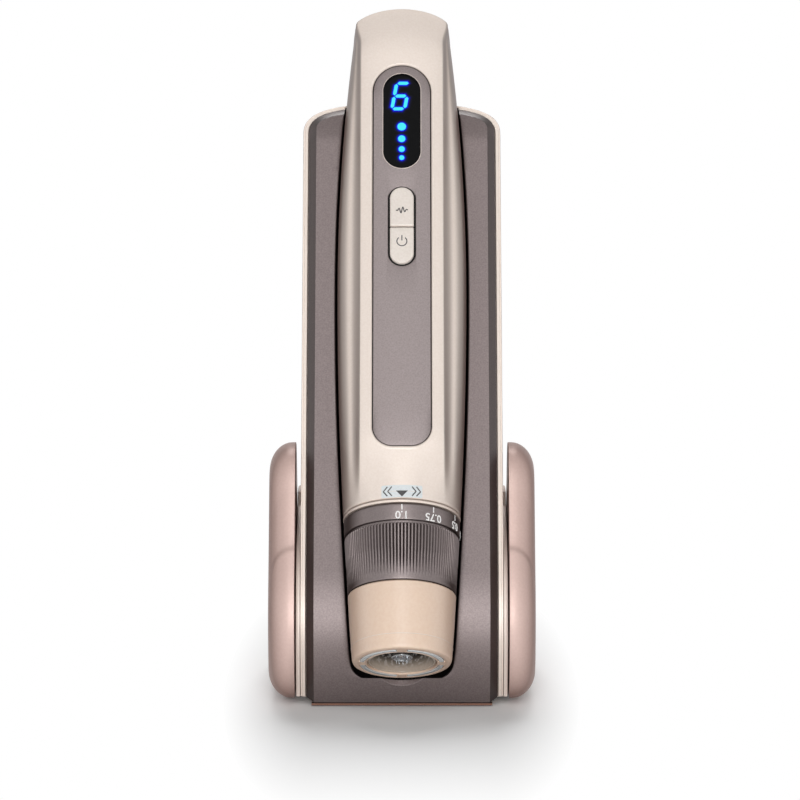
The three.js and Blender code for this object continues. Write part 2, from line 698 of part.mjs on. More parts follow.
// Bottom plate, feet, weight, board and socket
const plateFront = cavityFront + GAP;
const plateBack = BASE_BACK - 5 - GAP;
const plateHalf = cavityHalf - GAP;
const rearFootY = plateBack - FOOT_RADIUS - 3;
let basePlate = solid(block(-plateHalf, plateHalf, plateFront, plateBack, BASE_BOTTOM, BASE_BOTTOM + PLATE_THICK));
for (const side of [-1, 1]) basePlate = basePlate.subtract(footHole(side * FOOT_X, rearFootY));
piece(dock, 'dock_base_plate', basePlate, greyPlastic);
for (const [name, side, y] of [
  ['foot_front_left', -1, frontFootY],
  ['foot_front_right', 1, frontFootY],
  ['foot_rear_left', -1, rearFootY],
  ['foot_rear_right', 1, rearFootY],
]) {
  const foot = rod(FOOT_RADIUS, 0, BASE_BOTTOM + FOOT_RECESS - GAP, side * FOOT_X, y);
  piece(dock, name, solid(foot), rubber);
}
const weightTop = BASE_BOTTOM + PLATE_THICK + GAP + WEIGHT_HEIGHT;
piece(dock, 'dock_weight', solid(block(-plateHalf + 2, plateHalf - 2, plateFront + 1.5, plateBack - 17,
  BASE_BOTTOM + PLATE_THICK + GAP, weightTop)), steel);
const boardZ = SOCKET_Z - SOCKET_HEIGHT / 2 - GAP - DOCK_BOARD_THICK;
piece(dock, 'dock_board', solid(block(-12, 12, plateBack - 15, plateBack - 0.4, boardZ, boardZ + DOCK_BOARD_THICK)), boardGreen);
const socketOuter = solid(block(-SOCKET_WIDTH / 2, SOCKET_WIDTH / 2, socketY - SOCKET_DEPTH, socketY,
  SOCKET_Z - SOCKET_HEIGHT / 2, SOCKET_Z + SOCKET_HEIGHT / 2));
const socketBore = solid(block(-SOCKET_WIDTH / 2 + SOCKET_WALL, SOCKET_WIDTH / 2 - SOCKET_WALL,
  socketY - SOCKET_DEPTH + SOCKET_WALL, socketY + 1,
  SOCKET_Z - SOCKET_HEIGHT / 2 + SOCKET_WALL, SOCKET_Z + SOCKET_HEIGHT / 2 - SOCKET_WALL));
piece(dock, 'dock_usb_socket', socketOuter.subtract(socketBore), steel);

// Dock cheeks
function cheekShape() {
  const slope = Math.tan(LEAN);
  const lean = (z) => rimAt(CHEEK_SHOULDER_Z, RIM_SETBACK) - 4.2 + (z - CHEEK_SHOULDER_Z) * slope;
  const shape = new THREE.Shape();
  const rear = CHEEK_REAR;
  const front = CHEEK_FRONT;
  shape.moveTo(front + 9, CHEEK_BOTTOM);
  shape.bezierCurveTo(front + 3, CHEEK_BOTTOM + 2, front, CHEEK_LOBE_Z - 9, front, CHEEK_LOBE_Z);
  const shoulderY = lean(CHEEK_SHOULDER_Z) - CHEEK_SHOULDER_STEP;
  shape.bezierCurveTo(front, CHEEK_LOBE_Z + 9, shoulderY - 3, CHEEK_SHOULDER_Z - 5, shoulderY + 1.2, CHEEK_SHOULDER_Z - 0.6);
  shape.lineTo(lean(CHEEK_SHOULDER_Z), CHEEK_SHOULDER_Z);
  const topZ = CHEEK_TOP - CHEEK_TOP_ROUND * 0.75;
  shape.lineTo(lean(topZ), topZ);
  const crestY = lean(CHEEK_TOP) + CHEEK_TOP_ROUND * 0.8;
  shape.bezierCurveTo(lean(topZ + 6), topZ + 6, crestY - 6, CHEEK_TOP, crestY, CHEEK_TOP);
  shape.bezierCurveTo(crestY + 8, CHEEK_TOP, crestY + 12, CHEEK_TOP - 3, crestY + 16, CHEEK_TOP - 10);
  shape.lineTo(rear - 3, CHEEK_BOTTOM + 14);
  shape.bezierCurveTo(rear, CHEEK_BOTTOM + 8, rear - 1, CHEEK_BOTTOM + 1, rear - 9, CHEEK_BOTTOM);
  return shape;
}

// The outline drawn in along its own normals
function drawnIn(points, inset) {
  const n = points.length;
  return points.map((p, i) => {
    const before = points[(i + n - 1) % n];
    const after = points[(i + 1) % n];
    const e0 = p.clone().sub(before).normalize();
    const e1 = after.clone().sub(p).normalize();
    const normal = new THREE.Vector2(-(e0.y + e1.y), e0.x + e1.x).normalize();
    const reach = Math.max(0.5, Math.abs(normal.dot(new THREE.Vector2(-e0.y, e0.x))));
    return p.clone().addScaledVector(normal, inset / reach);
  });
}
function cheekBody(side) {
  let outline = cheekShape().getPoints(6);
  if (outline[0].distanceTo(outline[outline.length - 1]) < 0.01) outline = outline.slice(0, -1);
  const inward = THREE.ShapeUtils.area(outline) > 0 ? 1 : -1;
  const rings = [];
  const add = (x, inset) => rings.push(
    drawnIn(outline, inward * inset).map((p) => new THREE.Vector3(side * x, p.x, p.y)),
  );
  const steps = 5;
  const straight = 0.8;
  add(CHEEK_INNER, 0);
  for (let k = 0; k <= steps; k += 1) {
    const t = k / steps * Math.PI / 2;
    const inset = CHEEK_PILLOW * (1 - Math.cos(t));
    add(CHEEK_INNER + straight + (CHEEK_THICK - straight) * Math.sin(t), inset);
  }
  return loft(rings);
}
piece(dock, 'dock_cheek_left', cheekBody(-1), rose);
piece(dock, 'dock_cheek_right', cheekBody(1), rose);

// Pen body shells
const bodyOuter = solid(penLoft(0, BODY_START, TAIL_S + DOME_HEIGHT));
const bodyInner = solid(penLoft(BODY_WALL, BODY_START - 2, TAIL_S + 1, 8));
const bodyShell = bodyOuter.subtract(bodyInner);
const frontHalf = solid(block(-40, 40, -40, -(PARTING_H + GAP / 2), 0, 200));
const rearHalf = solid(block(-40, 40, -(PARTING_H - GAP / 2), 40, 0, 200));
const faceOpening = solid(frontBar(FACE_HALF + GAP, FACE_LOW - GAP, FACE_HIGH + GAP, 5, 30, FACE_LOW_ROUND + GAP));
piece(pen, 'pen_front_shell', bodyShell.intersect(frontHalf).subtract(faceOpening), champagne);
let rearShell = bodyShell.intersect(rearHalf);
function contactRod(radius, x, from, to) {
  const g = new THREE.CylinderGeometry(radius, radius, to - from, 20);
  return g.translate(x, -(from + to) / 2, PIN_STATION);
}
for (const side of [-1, 1]) {
  const pocket = contactRod(CONTACT_RADIUS + GAP, side * PIN_SPACING / 2, penContactH - 3, penContactH + PAD_SINK + CONTACT_THICK + GAP);
  rearShell = rearShell.subtract(solid(pocket));
}
piece(pen, 'pen_rear_shell', rearShell, champagne);
for (const [name, side] of [['pen_charge_pad_left', -1], ['pen_charge_pad_right', 1]]) {
  const pad = contactRod(CONTACT_RADIUS, side * PIN_SPACING / 2, penContactH + PAD_SINK, penContactH + PAD_SINK + CONTACT_THICK);
  piece(pen, name, solid(pad), gold);
}

// Face panel, display window and buttons
const faceTop = solid(penLoft(FACE_SINK, BODY_START, TAIL_S));
const faceUnder = solid(penLoft(FACE_SINK + FACE_THICK, BODY_START - 2, TAIL_S + 1, 8));
const faceSkin = faceTop.subtract(faceUnder);
const windowHole = solid(frontBar(WINDOW_HALF + GAP / 2, WINDOW_LOW - GAP / 2, WINDOW_HIGH + GAP / 2, 5, 30));
const buttonHole = solid(frontBar(BUTTON_HALF + GAP, BUTTON_LOW - GAP, BUTTON_HIGH + GAP, 5, 30));
const faceBar = solid(frontBar(FACE_HALF, FACE_LOW, FACE_HIGH, 5, 30, FACE_LOW_ROUND));
piece(pen, 'pen_face_panel', faceSkin.intersect(faceBar).subtract(windowHole).subtract(buttonHole), taupe);
const windowBar = solid(frontBar(WINDOW_HALF - GAP / 2, WINDOW_LOW + GAP / 2, WINDOW_HIGH - GAP / 2, 5, 30));
piece(pen, 'display_window', faceSkin.intersect(windowBar), blackGlass);

const buttonTop = solid(penLoft(-BUTTON_PROUD, BODY_START, TAIL_S));
const buttonUnder = solid(penLoft(BUTTON_DEEP, BODY_START - 2, TAIL_S + 1, 8));
const buttonSkin = buttonTop.subtract(buttonUnder);
const buttonBar = solid(frontBar(BUTTON_HALF, BUTTON_LOW, BUTTON_HIGH, 5, 30));
const wholeButton = buttonSkin.intersect(buttonBar);
const boardTop = BOARD_H + BOARD_THICK;
const switchTop = boardTop + GAP + SWITCH_HEIGHT;
function buttonPiece(low, high, middle) {
  const half = wholeButton.intersect(solid(block(-10, 10, -30, 0, low, high)));
  const stemTop = bodyFront(middle) - BUTTON_DEEP + 0.5;
  const stemLow = switchTop + BUTTON_TRAVEL + GAP;
  const stem = solid(block(-1.1, 1.1, -stemTop, -stemLow, middle - 1.1, middle + 1.1));
  return half.add(stem);
}
const modeMiddle = (BUTTON_SPLIT + BUTTON_HIGH) / 2;
const powerMiddle = (BUTTON_LOW + BUTTON_SPLIT) / 2;
piece(pen, 'mode_button', buttonPiece(BUTTON_SPLIT + GAP / 2, BUTTON_HIGH + 5, modeMiddle), buttonCream);
piece(pen, 'power_button', buttonPiece(BUTTON_LOW - 5, BUTTON_SPLIT - GAP / 2, powerMiddle), buttonCream);

// Circuit board with its switches and display
piece(pen, 'main_board', solid(block(-BOARD_HALF, BOARD_HALF, -boardTop, -BOARD_H, BOARD_LOW, BOARD_HIGH)), boardGreen);
function tactSwitch(middle) {
  const half = SWITCH_SIZE / 2;
  return solid(block(-half, half, -(switchTop - 0.3), -(boardTop + GAP), middle - half, middle + half))
    .add(solid(block(-0.8, 0.8, -switchTop, -(boardTop + GAP), middle - 0.8, middle + 0.8)));
}
piece(pen, 'mode_switch', tactSwitch(modeMiddle), steel);
piece(pen, 'power_switch', tactSwitch(powerMiddle), steel);
const displayTop = bodyFront(WINDOW_HIGH) - FACE_SINK - FACE_THICK - DISPLAY_GAP;
piece(pen, 'display_module', solid(block(-DISPLAY_HALF, DISPLAY_HALF, -displayTop, -(boardTop + GAP),
  WINDOW_LOW + 1, WINDOW_HIGH - 1)), greyPlastic);

// Chassis and battery
const chassisTop = BOARD_H - GAP;
const chassisUnder = chassisTop - CHASSIS_THICK;
const insideBody = solid(penLoft(BODY_WALL + GAP, BODY_START - 2, TAIL_S, 8));
const chassisDisc = solid(block(-30, 30, -30, 30, CHASSIS_LOW, CHASSIS_LOW + CHASSIS_DISC));
const chassisPlate = solid(block(-30, 30, -chassisTop, -chassisUnder, CHASSIS_LOW, BOARD_HIGH));
piece(pen, 'pen_chassis', chassisDisc.add(chassisPlate).intersect(insideBody), greyPlastic);
const batteryH = chassisUnder - GAP - BATTERY_R;
piece(pen, 'battery', rod(BATTERY_R, BATTERY_LOW, BATTERY_HIGH, 0, -batteryH, 32), blueWrap);

// Fixed sleeve, collar ring and depth dial
const flangeR = COLLAR_R - BODY_WALL - GAP;
piece(pen, 'nose_sleeve', turned([
  [SLEEVE_BORE, SLEEVE_LOW],
  [SLEEVE_R, SLEEVE_LOW],
  [SLEEVE_R, FLANGE_LOW],
  [flangeR, FLANGE_LOW],
  [flangeR, FLANGE_HIGH],
  [SLEEVE_R, FLANGE_HIGH],
  [SLEEVE_R, SLEEVE_HIGH],
  [SLEEVE_BORE, SLEEVE_HIGH],
], 28), greyPlastic);
const ringBore = SLEEVE_R + GAP;
piece(pen, 'collar_ring', turned([
  [ringBore, RING_COLLAR_LOW],
  [COLLAR_R, RING_COLLAR_LOW],
  [COLLAR_R, RING_COLLAR_HIGH],
  [ringBore, RING_COLLAR_HIGH],
], 44), rimCream);
function knurlShape() {
  const points = [];
  const steps = KNURL_COUNT * 2;
  for (let i = 0; i < steps; i += 1) {
    const r = i % 2 === 0 ? KNURL_HIGH_R : KNURL_HIGH_R - KNURL_DEEP;
    const t = i / steps * Math.PI * 2;
    points.push(new THREE.Vector2(r * Math.cos(t), r * Math.sin(t)));
  }
  return new THREE.Shape(points);
}
// straight flutes, drawn in towards the nose
const knurl = new THREE.ExtrudeGeometry(knurlShape(), { depth: KNURL_HIGH - KNURL_LOW, bevelEnabled: false });
const flutes = knurl.attributes.position;
for (let i = 0; i < flutes.count; i += 1) {
  const k = THREE.MathUtils.lerp(KNURL_LOW_R / KNURL_HIGH_R, 1, flutes.getZ(i) / (KNURL_HIGH - KNURL_LOW));
  flutes.setXYZ(i, flutes.getX(i) * k, flutes.getY(i) * k, flutes.getZ(i) + KNURL_LOW);
}
const dialCore = turned([
  [0, SKIRT_END],
  [SKIRT_R - 0.2, SKIRT_END],
  [SKIRT_R, SKIRT_END + 0.2],
  [KNURL_LOW_R + 0.12, KNURL_LOW + 0.05],
  [KNURL_LOW_R - KNURL_DEEP - 0.1, KNURL_LOW + 0.05],
  [GROOVE_R, KNURL_HIGH],
  [GROOVE_R, GROOVE_HIGH],
  [SCALE_R - SCALE_TAPER - 0.25, GROOVE_HIGH],
  [SCALE_R - SCALE_TAPER, GROOVE_HIGH + 0.3],
  [SCALE_R, SCALE_HIGH - 0.3],
  [SCALE_R - 0.3, SCALE_HIGH],
  [0, SCALE_HIGH],
], 44);
const neckRoom = CUP_LENGTH + CUP_NECK_LENGTH + GAP;
const dialBore = turned([
  [0, SKIRT_END - 5],
  [CUP_NECK_R + GAP, SKIRT_END - 5],
  [CUP_NECK_R + GAP, neckRoom],
  [ringBore, neckRoom + 0.6],
  [ringBore, SCALE_HIGH + 5],
  [0, SCALE_HIGH + 5],
]);
piece(pen, 'depth_dial', solid(dialCore).add(solid(knurl)).subtract(solid(dialBore)), darkTaupe);

// Needle cartridge: cup, electrodes, clear bowl and seal
const bowlBore = BOWL_R + GAP;
const webTop = CUP_WEB_S + CUP_WEB_THICK;
const cup = turned([
  [bowlBore, 0],
  [CUP_END_R - CUP_CORNER, 0],
  [CUP_END_R - CUP_CORNER * 0.3, CUP_CORNER * 0.25],
  [CUP_END_R, CUP_CORNER],
  [CUP_TOP_R, CUP_LENGTH],
  [CUP_NECK_R, CUP_LENGTH],
  [CUP_NECK_R, CUP_LENGTH + CUP_NECK_LENGTH],
  [ringBore, CUP_LENGTH + CUP_NECK_LENGTH],
  [ringBore, CUP_LENGTH],
  [CUP_INNER_R, webTop + 1],
  [CUP_INNER_R - 1, webTop],
  [BAR_BORE, webTop],
  [BAR_BORE, CUP_WEB_S],
  [bowlBore, CUP_WEB_S],
]);
function electrodeShape(widen) {
  const inner = RING_IN - widen;
  const outer = RING_OUT + widen;
  const half = Math.PI / 4 - (RIB_WIDTH / 2 - widen) / RING_OUT;
  const s = new THREE.Shape();
  s.absarc(0, 0, outer, Math.PI / 4 - half, Math.PI / 4 + half, false);
  s.absarc(0, 0, inner, Math.PI / 4 + half, Math.PI / 4 - half, true);
  return s;
}
function electrodeBody(widen, deep, turn) {
  const g = new THREE.ExtrudeGeometry(electrodeShape(widen), { depth: deep, bevelEnabled: false, curveSegments: 6 });
  return g.rotateZ(turn);
}
let cupBody = solid(cup);
for (let i = 0; i < 4; i += 1) {
  const turn = i * Math.PI / 2;
  const slot = electrodeBody(GAP, RING_DEEP + 1, turn).translate(0, 0, -1);
  cupBody = cupBody.subtract(solid(slot));
}
piece(pen, 'cartridge_cup', cupBody, beige);
for (let i = 0; i < 4; i += 1) {
  const arc = electrodeBody(0, RING_DEEP - GAP, i * Math.PI / 2);
  piece(pen, `electrode_${i + 1}`, solid(arc), silver);
}
piece(pen, 'cartridge_bowl', turned([
  [BOWL_R - BOWL_WALL, GAP],
  [BOWL_R, GAP],
  [BOWL_R, CUP_WEB_S - GAP],
  [BAR_BORE, CUP_WEB_S - GAP],
  [BAR_BORE, BOWL_GUIDE_S],
  [BOWL_GUIDE_R, BOWL_GUIDE_S],
  [BOWL_GUIDE_R, BOWL_FLOOR],
  [BOWL_R - BOWL_WALL, BOWL_FLOOR],
], 28), clear);
piece(pen, 'bar_seal', turned([
  [BAR_BORE, webTop + GAP],
  [SEAL_R, webTop + GAP],
  [SEAL_R, webTop + GAP + SEAL_THICK],
  [BAR_BORE, webTop + GAP + SEAL_THICK],
], 16), rubber);

// Needle hub on its bar, with the yoke that the crank pin drives
let needles = solid(turned([
  [0, HUB_S + 0.3],
  [HUB_R - 0.7, HUB_S + 0.3],
  [HUB_R - 0.6, HUB_S],
  [HUB_R - 0.15, HUB_S],
  [HUB_R, HUB_S + 0.15],
  [HUB_R, HUB_S + HUB_THICK],
  [BAR_R, HUB_S + HUB_THICK + 0.4],
  [BAR_R, YOKE_S],
  [YOKE_R, YOKE_S],
  [YOKE_R, YOKE_S + YOKE_THICK],
  [0, YOKE_S + YOKE_THICK],
], 20));
for (let i = 0; i < NEEDLE_COUNT; i += 1) {
  const t = i / NEEDLE_COUNT * Math.PI * 2;
  const needle = new THREE.CylinderGeometry(0.04, NEEDLE_R, NEEDLE_LENGTH + 0.3, 5);
  needle.rotateX(-Math.PI / 2);
  needle.translate(NEEDLE_RING_R * Math.cos(t), NEEDLE_RING_R * Math.sin(t), HUB_S + 0.5 - NEEDLE_LENGTH / 2 - 0.15);
  needles = needles.add(solid(needle));
}
piece(pen, 'needle_bar', needles, steel);

// Depth carriage with the motor and its crank
piece(pen, 'depth_carriage', turned([
  [BAR_BORE, CARRIAGE_LOW],
  [CARRIAGE_R, CARRIAGE_LOW],
  [CARRIAGE_R, CARRIAGE_HIGH],
  [MOTOR_R + GAP, CARRIAGE_HIGH],
  [MOTOR_R + GAP, MOTOR_LOW - GAP],
  [CARRIAGE_BORE, MOTOR_LOW - GAP],
  [CARRIAGE_BORE, CARRIAGE_LOW + CARRIAGE_WEB],
  [BAR_BORE, CARRIAGE_LOW + CARRIAGE_WEB],
], 24), greyPlastic);
piece(pen, 'motor', turned([
  [0, MOTOR_LOW],
  [MOTOR_R, MOTOR_LOW],
  [MOTOR_R, MOTOR_HIGH - 3],
  [MOTOR_R - 2, MOTOR_HIGH - 3],
  [MOTOR_R - 2, MOTOR_HIGH],
  [0, MOTOR_HIGH],
], 32), steel);
const crankDisc = solid(rod(CRANK_R, CRANK_LOW, CRANK_HIGH, 0, 0, 32));
const crankPin = solid(rod(CRANK_PIN_R, CRANK_LOW - CRANK_PIN_LONG, CRANK_LOW + 1, 0, -CRANK_OFFSET, 16));
const crankShaft = solid(rod(SHAFT_R, CRANK_HIGH - 0.5, MOTOR_LOW - GAP, 0, 0, 16));
piece(pen, 'motor_crank', crankDisc.add(crankPin).add(crankShaft), steel);

// The whole product, centred over the middle of its footprint
const product = new THREE.Group();
product.add(dock, pen);
product.updateMatrixWorld(true);
const span = new THREE.Box3().setFromObject(product, true);
product.position.set(0, -(span.min.y + span.max.y) / 2, 0);

export default product;
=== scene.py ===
"""Fine surfaces and finishes for a microneedling pen standing in its charging dock."""

import json
import math

import bpy
import numpy as np
from bpy.props import FloatProperty, FloatVectorProperty, PointerProperty
from bpy.types import Operator, Panel, PropertyGroup
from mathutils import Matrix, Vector


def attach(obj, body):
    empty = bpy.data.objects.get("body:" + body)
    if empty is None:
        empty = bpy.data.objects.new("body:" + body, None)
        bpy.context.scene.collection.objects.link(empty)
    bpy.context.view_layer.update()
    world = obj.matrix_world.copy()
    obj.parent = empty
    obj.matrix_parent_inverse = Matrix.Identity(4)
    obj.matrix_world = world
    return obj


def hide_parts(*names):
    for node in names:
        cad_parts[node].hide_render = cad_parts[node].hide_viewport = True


bl_info = {
    "name": "Microneedling Pen and Dock",
    "version": (1, 0, 0),
    "blender": (4, 5, 0),
    "location": "View3D > Sidebar > Pen and Dock",
    "description": "Dresses a cordless microneedling pen and its charging dock",
    "category": "Add Mesh",
}

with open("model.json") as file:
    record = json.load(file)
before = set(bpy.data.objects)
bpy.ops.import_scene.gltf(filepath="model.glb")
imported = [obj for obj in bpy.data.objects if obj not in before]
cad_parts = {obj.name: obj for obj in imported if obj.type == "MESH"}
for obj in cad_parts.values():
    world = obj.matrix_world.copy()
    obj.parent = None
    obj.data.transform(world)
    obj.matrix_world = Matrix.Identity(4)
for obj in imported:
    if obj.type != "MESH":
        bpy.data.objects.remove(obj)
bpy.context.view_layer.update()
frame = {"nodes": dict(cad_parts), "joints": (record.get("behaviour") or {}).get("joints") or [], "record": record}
MM = 0.001

# The pen's own frame: s runs from the nose end face up the axis, h towards the pen's front.
TURN = next(j for j in frame["joints"] if j["name"] == "depth_dial_turn")
AXIS = np.array(TURN["axis"])
LEAN = math.atan2(AXIS[1], AXIS[2])
FRONT = np.array([0.0, -math.cos(LEAN), math.sin(LEAN)])
DIAL_PIVOT_S = 27.0
NOSE = np.array(TURN["pos_m"]) / MM - DIAL_PIVOT_S * AXIS

# Dock slab, in millimetres
CHIN_RADIUS = 36.0
CHIN_HEIGHT = 16.9
NOSE_BELOW = 24.7
AXIS_PROUD = 1.0
SLAB_HALF = 25.3
SLAB_DEPTH = 21.0
SLAB_TOP = 128.4
TOP_ROUND = 9.0
CROWN_START = SLAB_TOP - TOP_ROUND
CORNER_POWER = 2.8
RIM_WIDTH = 1.5
RIM_SETBACK = 3.2
PANEL_BEVEL = 1.9
ROLL_LENGTH = 12.0
ROLL_DEPTH = 2.1
ROLL_BEND = 0.15
BEVEL_DEPTH = 2.3
PANEL_BOTTOM = 1.1
SLAB_BOTTOM = 2.0
SHELL_INNER = 2.5
TRAY_FLOOR = 16.2
BLOCK_DEPTH = 15.8
TROUGH_CLEAR = 0.6
TROUGH_END = 0.2
TANGENT_Y = CHIN_RADIUS * (1 - math.cos(LEAN))
TANGENT_Z = CHIN_HEIGHT + CHIN_RADIUS * math.sin(LEAN)
SHIFT = NOSE[1] - (TANGENT_Y - AXIS_PROUD * math.cos(LEAN) - NOSE_BELOW * math.sin(LEAN))

# Pen body, in millimetres: heights along s, half widths across and depths from the axis
BODY_START = 38.1
COLLAR_R = 14.6
BELLY_S = 100.0
BELLY_HALF = 16.3
BELLY_REAR = 14.9
TAIL_HALF = 12.35
TAIL_REAR = 11.7
TAIL_FRONT = 11.75
TAIL_S = 168.0
TAIL_ARCH = 4.6
TAIL_ARCH_S = 140.0
DOME = 1.3
FACET_HALF = 10.4
FACET_SPREAD = 1.0
FACET_SPREAD_S = 161.5
FACET_CROWN = 0.45
SIDE_SWAY = 0.09
FACET_ROLL = 0.35
TAIL_DROP = 1.6
FACET_FULL = 56.0
FACE_LOW = 52.0
FACE_HIGH = 156.0
FACE_HALF = 7.2
FACE_ROUND = 5.0
FACE_SINK = 2.6
EDGE_RUN = 0.35
SIDE_LOW = 5.2
SIDE_ROLL = 0.7
REAR_POWER = 2.3
# Nose and dial, and the trough and finger notch round them
CUP_LENGTH = 17.2
CUP_END_R = 12.3
CUP_TOP_R = 13.4
SCALE_R = 14.5
SCALE_LOW_R = 14.35
TROUGH_CORNER = 2.6
TROUGH_POWER = 5.0
NOTCH_RADIUS = 10.1
NOTCH_H = -2.4
LIP_ROUND = 0.35
TROUGH_COLUMNS = 30

# Rows of the pen body's skin (start, end, count), closer together where its section changes
BODY_ROWS = (
    (BODY_START, BODY_START + 0.4, 4), (38.9, 50, 30), (50.2, 60, 70),
    (61, 139, 90), (139.5, 158, 120), (158.3, TAIL_S, 40),
)
# Round bars on the pen's front: half width, low end, high end and the rounds at both ends
FACE = (FACE_HALF, FACE_LOW, FACE_HIGH, FACE_ROUND, FACE_HALF)
WELL = (3.5, 100.2, 122.2, 3.5, 3.5)
WELL_FLOOR = (3.46, 100.24, 122.16, 3.46, 3.46)
WINDOW = (4.75, 127.25, 153.8, 4.75, 4.75)
MODE_KEY = (3.0, 110.95, 121.7, 0.3, 3.0)
POWER_KEY = (3.0, 100.7, 110.6, 3.0, 0.3)
LABEL = (5.05, 38.3, 41.5, 0.3, 0.3)
# Profiles of lips round a bar: offset outwards, and lift over the facet. The bead's offsets are
# shares of its width, from where it starts.
BEAD_FROM = 0.2
BEAD = (
    (1.4, -0.7), (1.4, -0.01), (1.15, 0.04), (0.9, 0.07), (0.7, 0.06), (0.5, 0.02), (0.3, -0.06),
    (0.12, -0.18), (0, -0.35), (0, -0.9),
)
FACE_GAP = ((0.3, -1.2), (0.3, -0.6), (-0.1, -0.6), (-0.1, -1.2))
WINDOW_TRIM = ((0.16, -0.6), (0.16, -0.27), (0.1, -0.22), (0.04, -0.24), (0.04, -0.6))

# Lit figure: half width, height of one half, gap at the corners, width of a segment, its lean and
# its middle; then the dots as (s, radius)
FIGURE_HALF = 1.62
FIGURE_RISE = 3.6
FIGURE_GAP = 0.2
SEGMENT_WIDTH = 0.86
SEGMENT_LEAN = 0.17
FIGURE_AT = (-0.3, 147.4)
DOTS_X = -0.05
DOTS = ((138.8, 1.08), (135.4, 0.92), (132.5, 0.78), (130.1, 0.64))
# Layers of light: name, how far it grows round a segment, its lift, colour and strength
LAYERS = (
    ("haze", 1.1, -0.225, "03030F", 1.0),
    ("halo_wide", 0.8, -0.21, "06062E", 1.0),
    ("halo", 0.52, -0.195, "0A0A70", 1.0),
    ("fringe", 0.26, -0.18, "0C18F0", 1.0),
    ("core", 0.0, -0.14, "50F4FF", 0.95),
)
LIGHT_THICK = 0.012
PRINT_THICK = 0.06
PULSE_AT = 115.3
POWER_AT = 106.7
POWER_RADIUS = 1.25

# Dial: flutes and points on each, the scale's numbers, the turn between them in degrees, and the
# height of the digits and their middle
FLUTES = 104
FLUTE_POINTS = 10
SCALE = ("1.0", "0.75", "0.5", "0.25", "0")
SCALE_STEP = 32.5
DIGIT_SIZE = 2.75
DIGIT_AT = 33.85
# Cartridge: plates round the mouth and their middle radius, needles and the circle they stand on
ELECTRODES = 4
ELECTRODE_MID_R = 9.9
NEEDLES = 9
NEEDLE_RING_R = 1.4

# Dock base and cheeks, seen from the side: y is counted from the chin's front, z from the table
BASE_HALF = 26.4
BASE_TOP = 49.0
BASE_BACK_TOP = 49.0
BASE_BACK = 74.0
BASE_BOTTOM = 2.0
SHOULDER_RUN = 4.5
SHOULDER_DROP = 6.0
PORT_Z = 9.0
PORT_WIDE = 9.6
PORT_HIGH = 3.8
PORT_FLOOR = 64.2
SHELL_WIDE = 9.0
SHELL_HIGH = 3.2
SHELL_SHEET = 0.35
TONGUE_HALF = (3.3, 0.38)
FLARE_LOW = 21.0
FLARE_HIGH = 46.0
CHEEK_INNER = 26.7
CHEEK_THICK = 6.6
CHEEK_BOTTOM = 1.1
CHEEK_TOP = 62.6
CHEEK_FRONT = -1.6
CHEEK_REAR = 66.0
CHEEK_SHOULDER = 42.4
CHEEK_TOP_ROUND = 11.0
CHEEK_AHEAD = 4.2
LOBE_Z = 20.0
LOBE_TOP = 39.5
LOBE_STEP = 0.55

# Finishes: the painted shade at slants, its green and blue as powers of its red, the metal share
# of flaked paint, and where the bowl's painted dark shade begins and is full, in mm up the axis
SLANT_SHADE_GREEN = 1.16
SLANT_SHADE_BLUE = 1.21
FLAKE_METAL = 0.35
BOWL_SHADE_FROM = 1.2
BOWL_SHADE_FULL = 4.6

# Camera: width of the picture and focal length in pixels, height above level in degrees,
# distance in m, and the point it looks at in the slab's millimetres
PICTURE = 800
CAMERA_FOCUS = 5200
CAMERA_RISE = 8.0
CAMERA_AWAY = 1.3
CAMERA_AIM = (-0.475, 20.0, 74.8)
SENSOR = 36.0
# Stage: light from all round, and the floor's own glow in the shadow
WORLD_FILL = 0.14
FLOOR_LIFT = 0.03
WHITE = (1, 1, 1, 1)
PAPER = (0.88, 0.88, 0.88, 1)
# The paper turns to plain white between these distances from the middle, in metres. Distance
# aside counts as its scale and offset make it, never below zero.
PAPER_FADE = (0.055, 0.15)
PAPER_ASIDE = (6.0, -0.12)
# Floor and backdrop in metres: front end, start and radius of the sweep, top and half width
FLOOR_FRONT = -2.0
SWEEP_FROM = 0.9
SWEEP_RADIUS = 0.6
WALL_TOP = 3.0
FLOOR_HALF = 3.0
# Soft boxes: name, place, the point it faces, its sides in metres and its power in watts
LAMPS = (
    ("key_box", (0.0, -1.1, 0.62), (0, 0, 0.08), (0.5, 0.4), 2.4),
    ("high_box", (0.0, -0.78, 1.02), (0, 0.05, 0.13), (0.5, 0.5), 1.3),
    ("low_box", (0.0, -1.3, 0.36), (0, 0, 0.05), (0.6, 0.12), 3.9),
    ("foot_box", (0.0, -1.2, 0.08), (0, 0, 0.05), (0.5, 0.14), 2.3),
    ("top_box", (0.0, 0.7, 1.0), (0, 0, 0.0), (0.5, 0.4), 7.0),
    ("left_box", (-1.0, 0.0, 0.3), (0, 0, 0.08), (0.3, 0.7), 0.9),
    ("right_box", (1.0, 0.0, 0.3), (0, 0, 0.08), (0.3, 0.7), 0.9),
)


def hexed(code):
    """sRGB hex to linear light: c/12.92 below 0.04045, else ((c+0.055)/1.055)^2.4."""
    c = np.array([int(code[i : i + 2], 16) / 255 for i in (0, 2, 4)])
    low = c / 12.92
    high = ((c + 0.055) / 1.055) ** 2.4
    return (*np.where(c <= 0.04045, low, high).tolist(), 1.0)


def length(name, description, default):
    """A length property, in millimetres."""
    return FloatProperty(name=name, description=description, default=default, unit="LENGTH")


class PenSizes(PropertyGroup):
    """Sizes of the pen's fine detail."""

    facet_step: length("Facet step", "Drop from the front facet to the side facet", 0.75)
    bead_width: length("Bead width", "Raised lip round the face panel", 0.75)
    button_proud: length("Button height", "How far the buttons stand proud", 0.45)
    flute_depth: length("Flute depth", "Depth of the dial's flutes", 0.48)


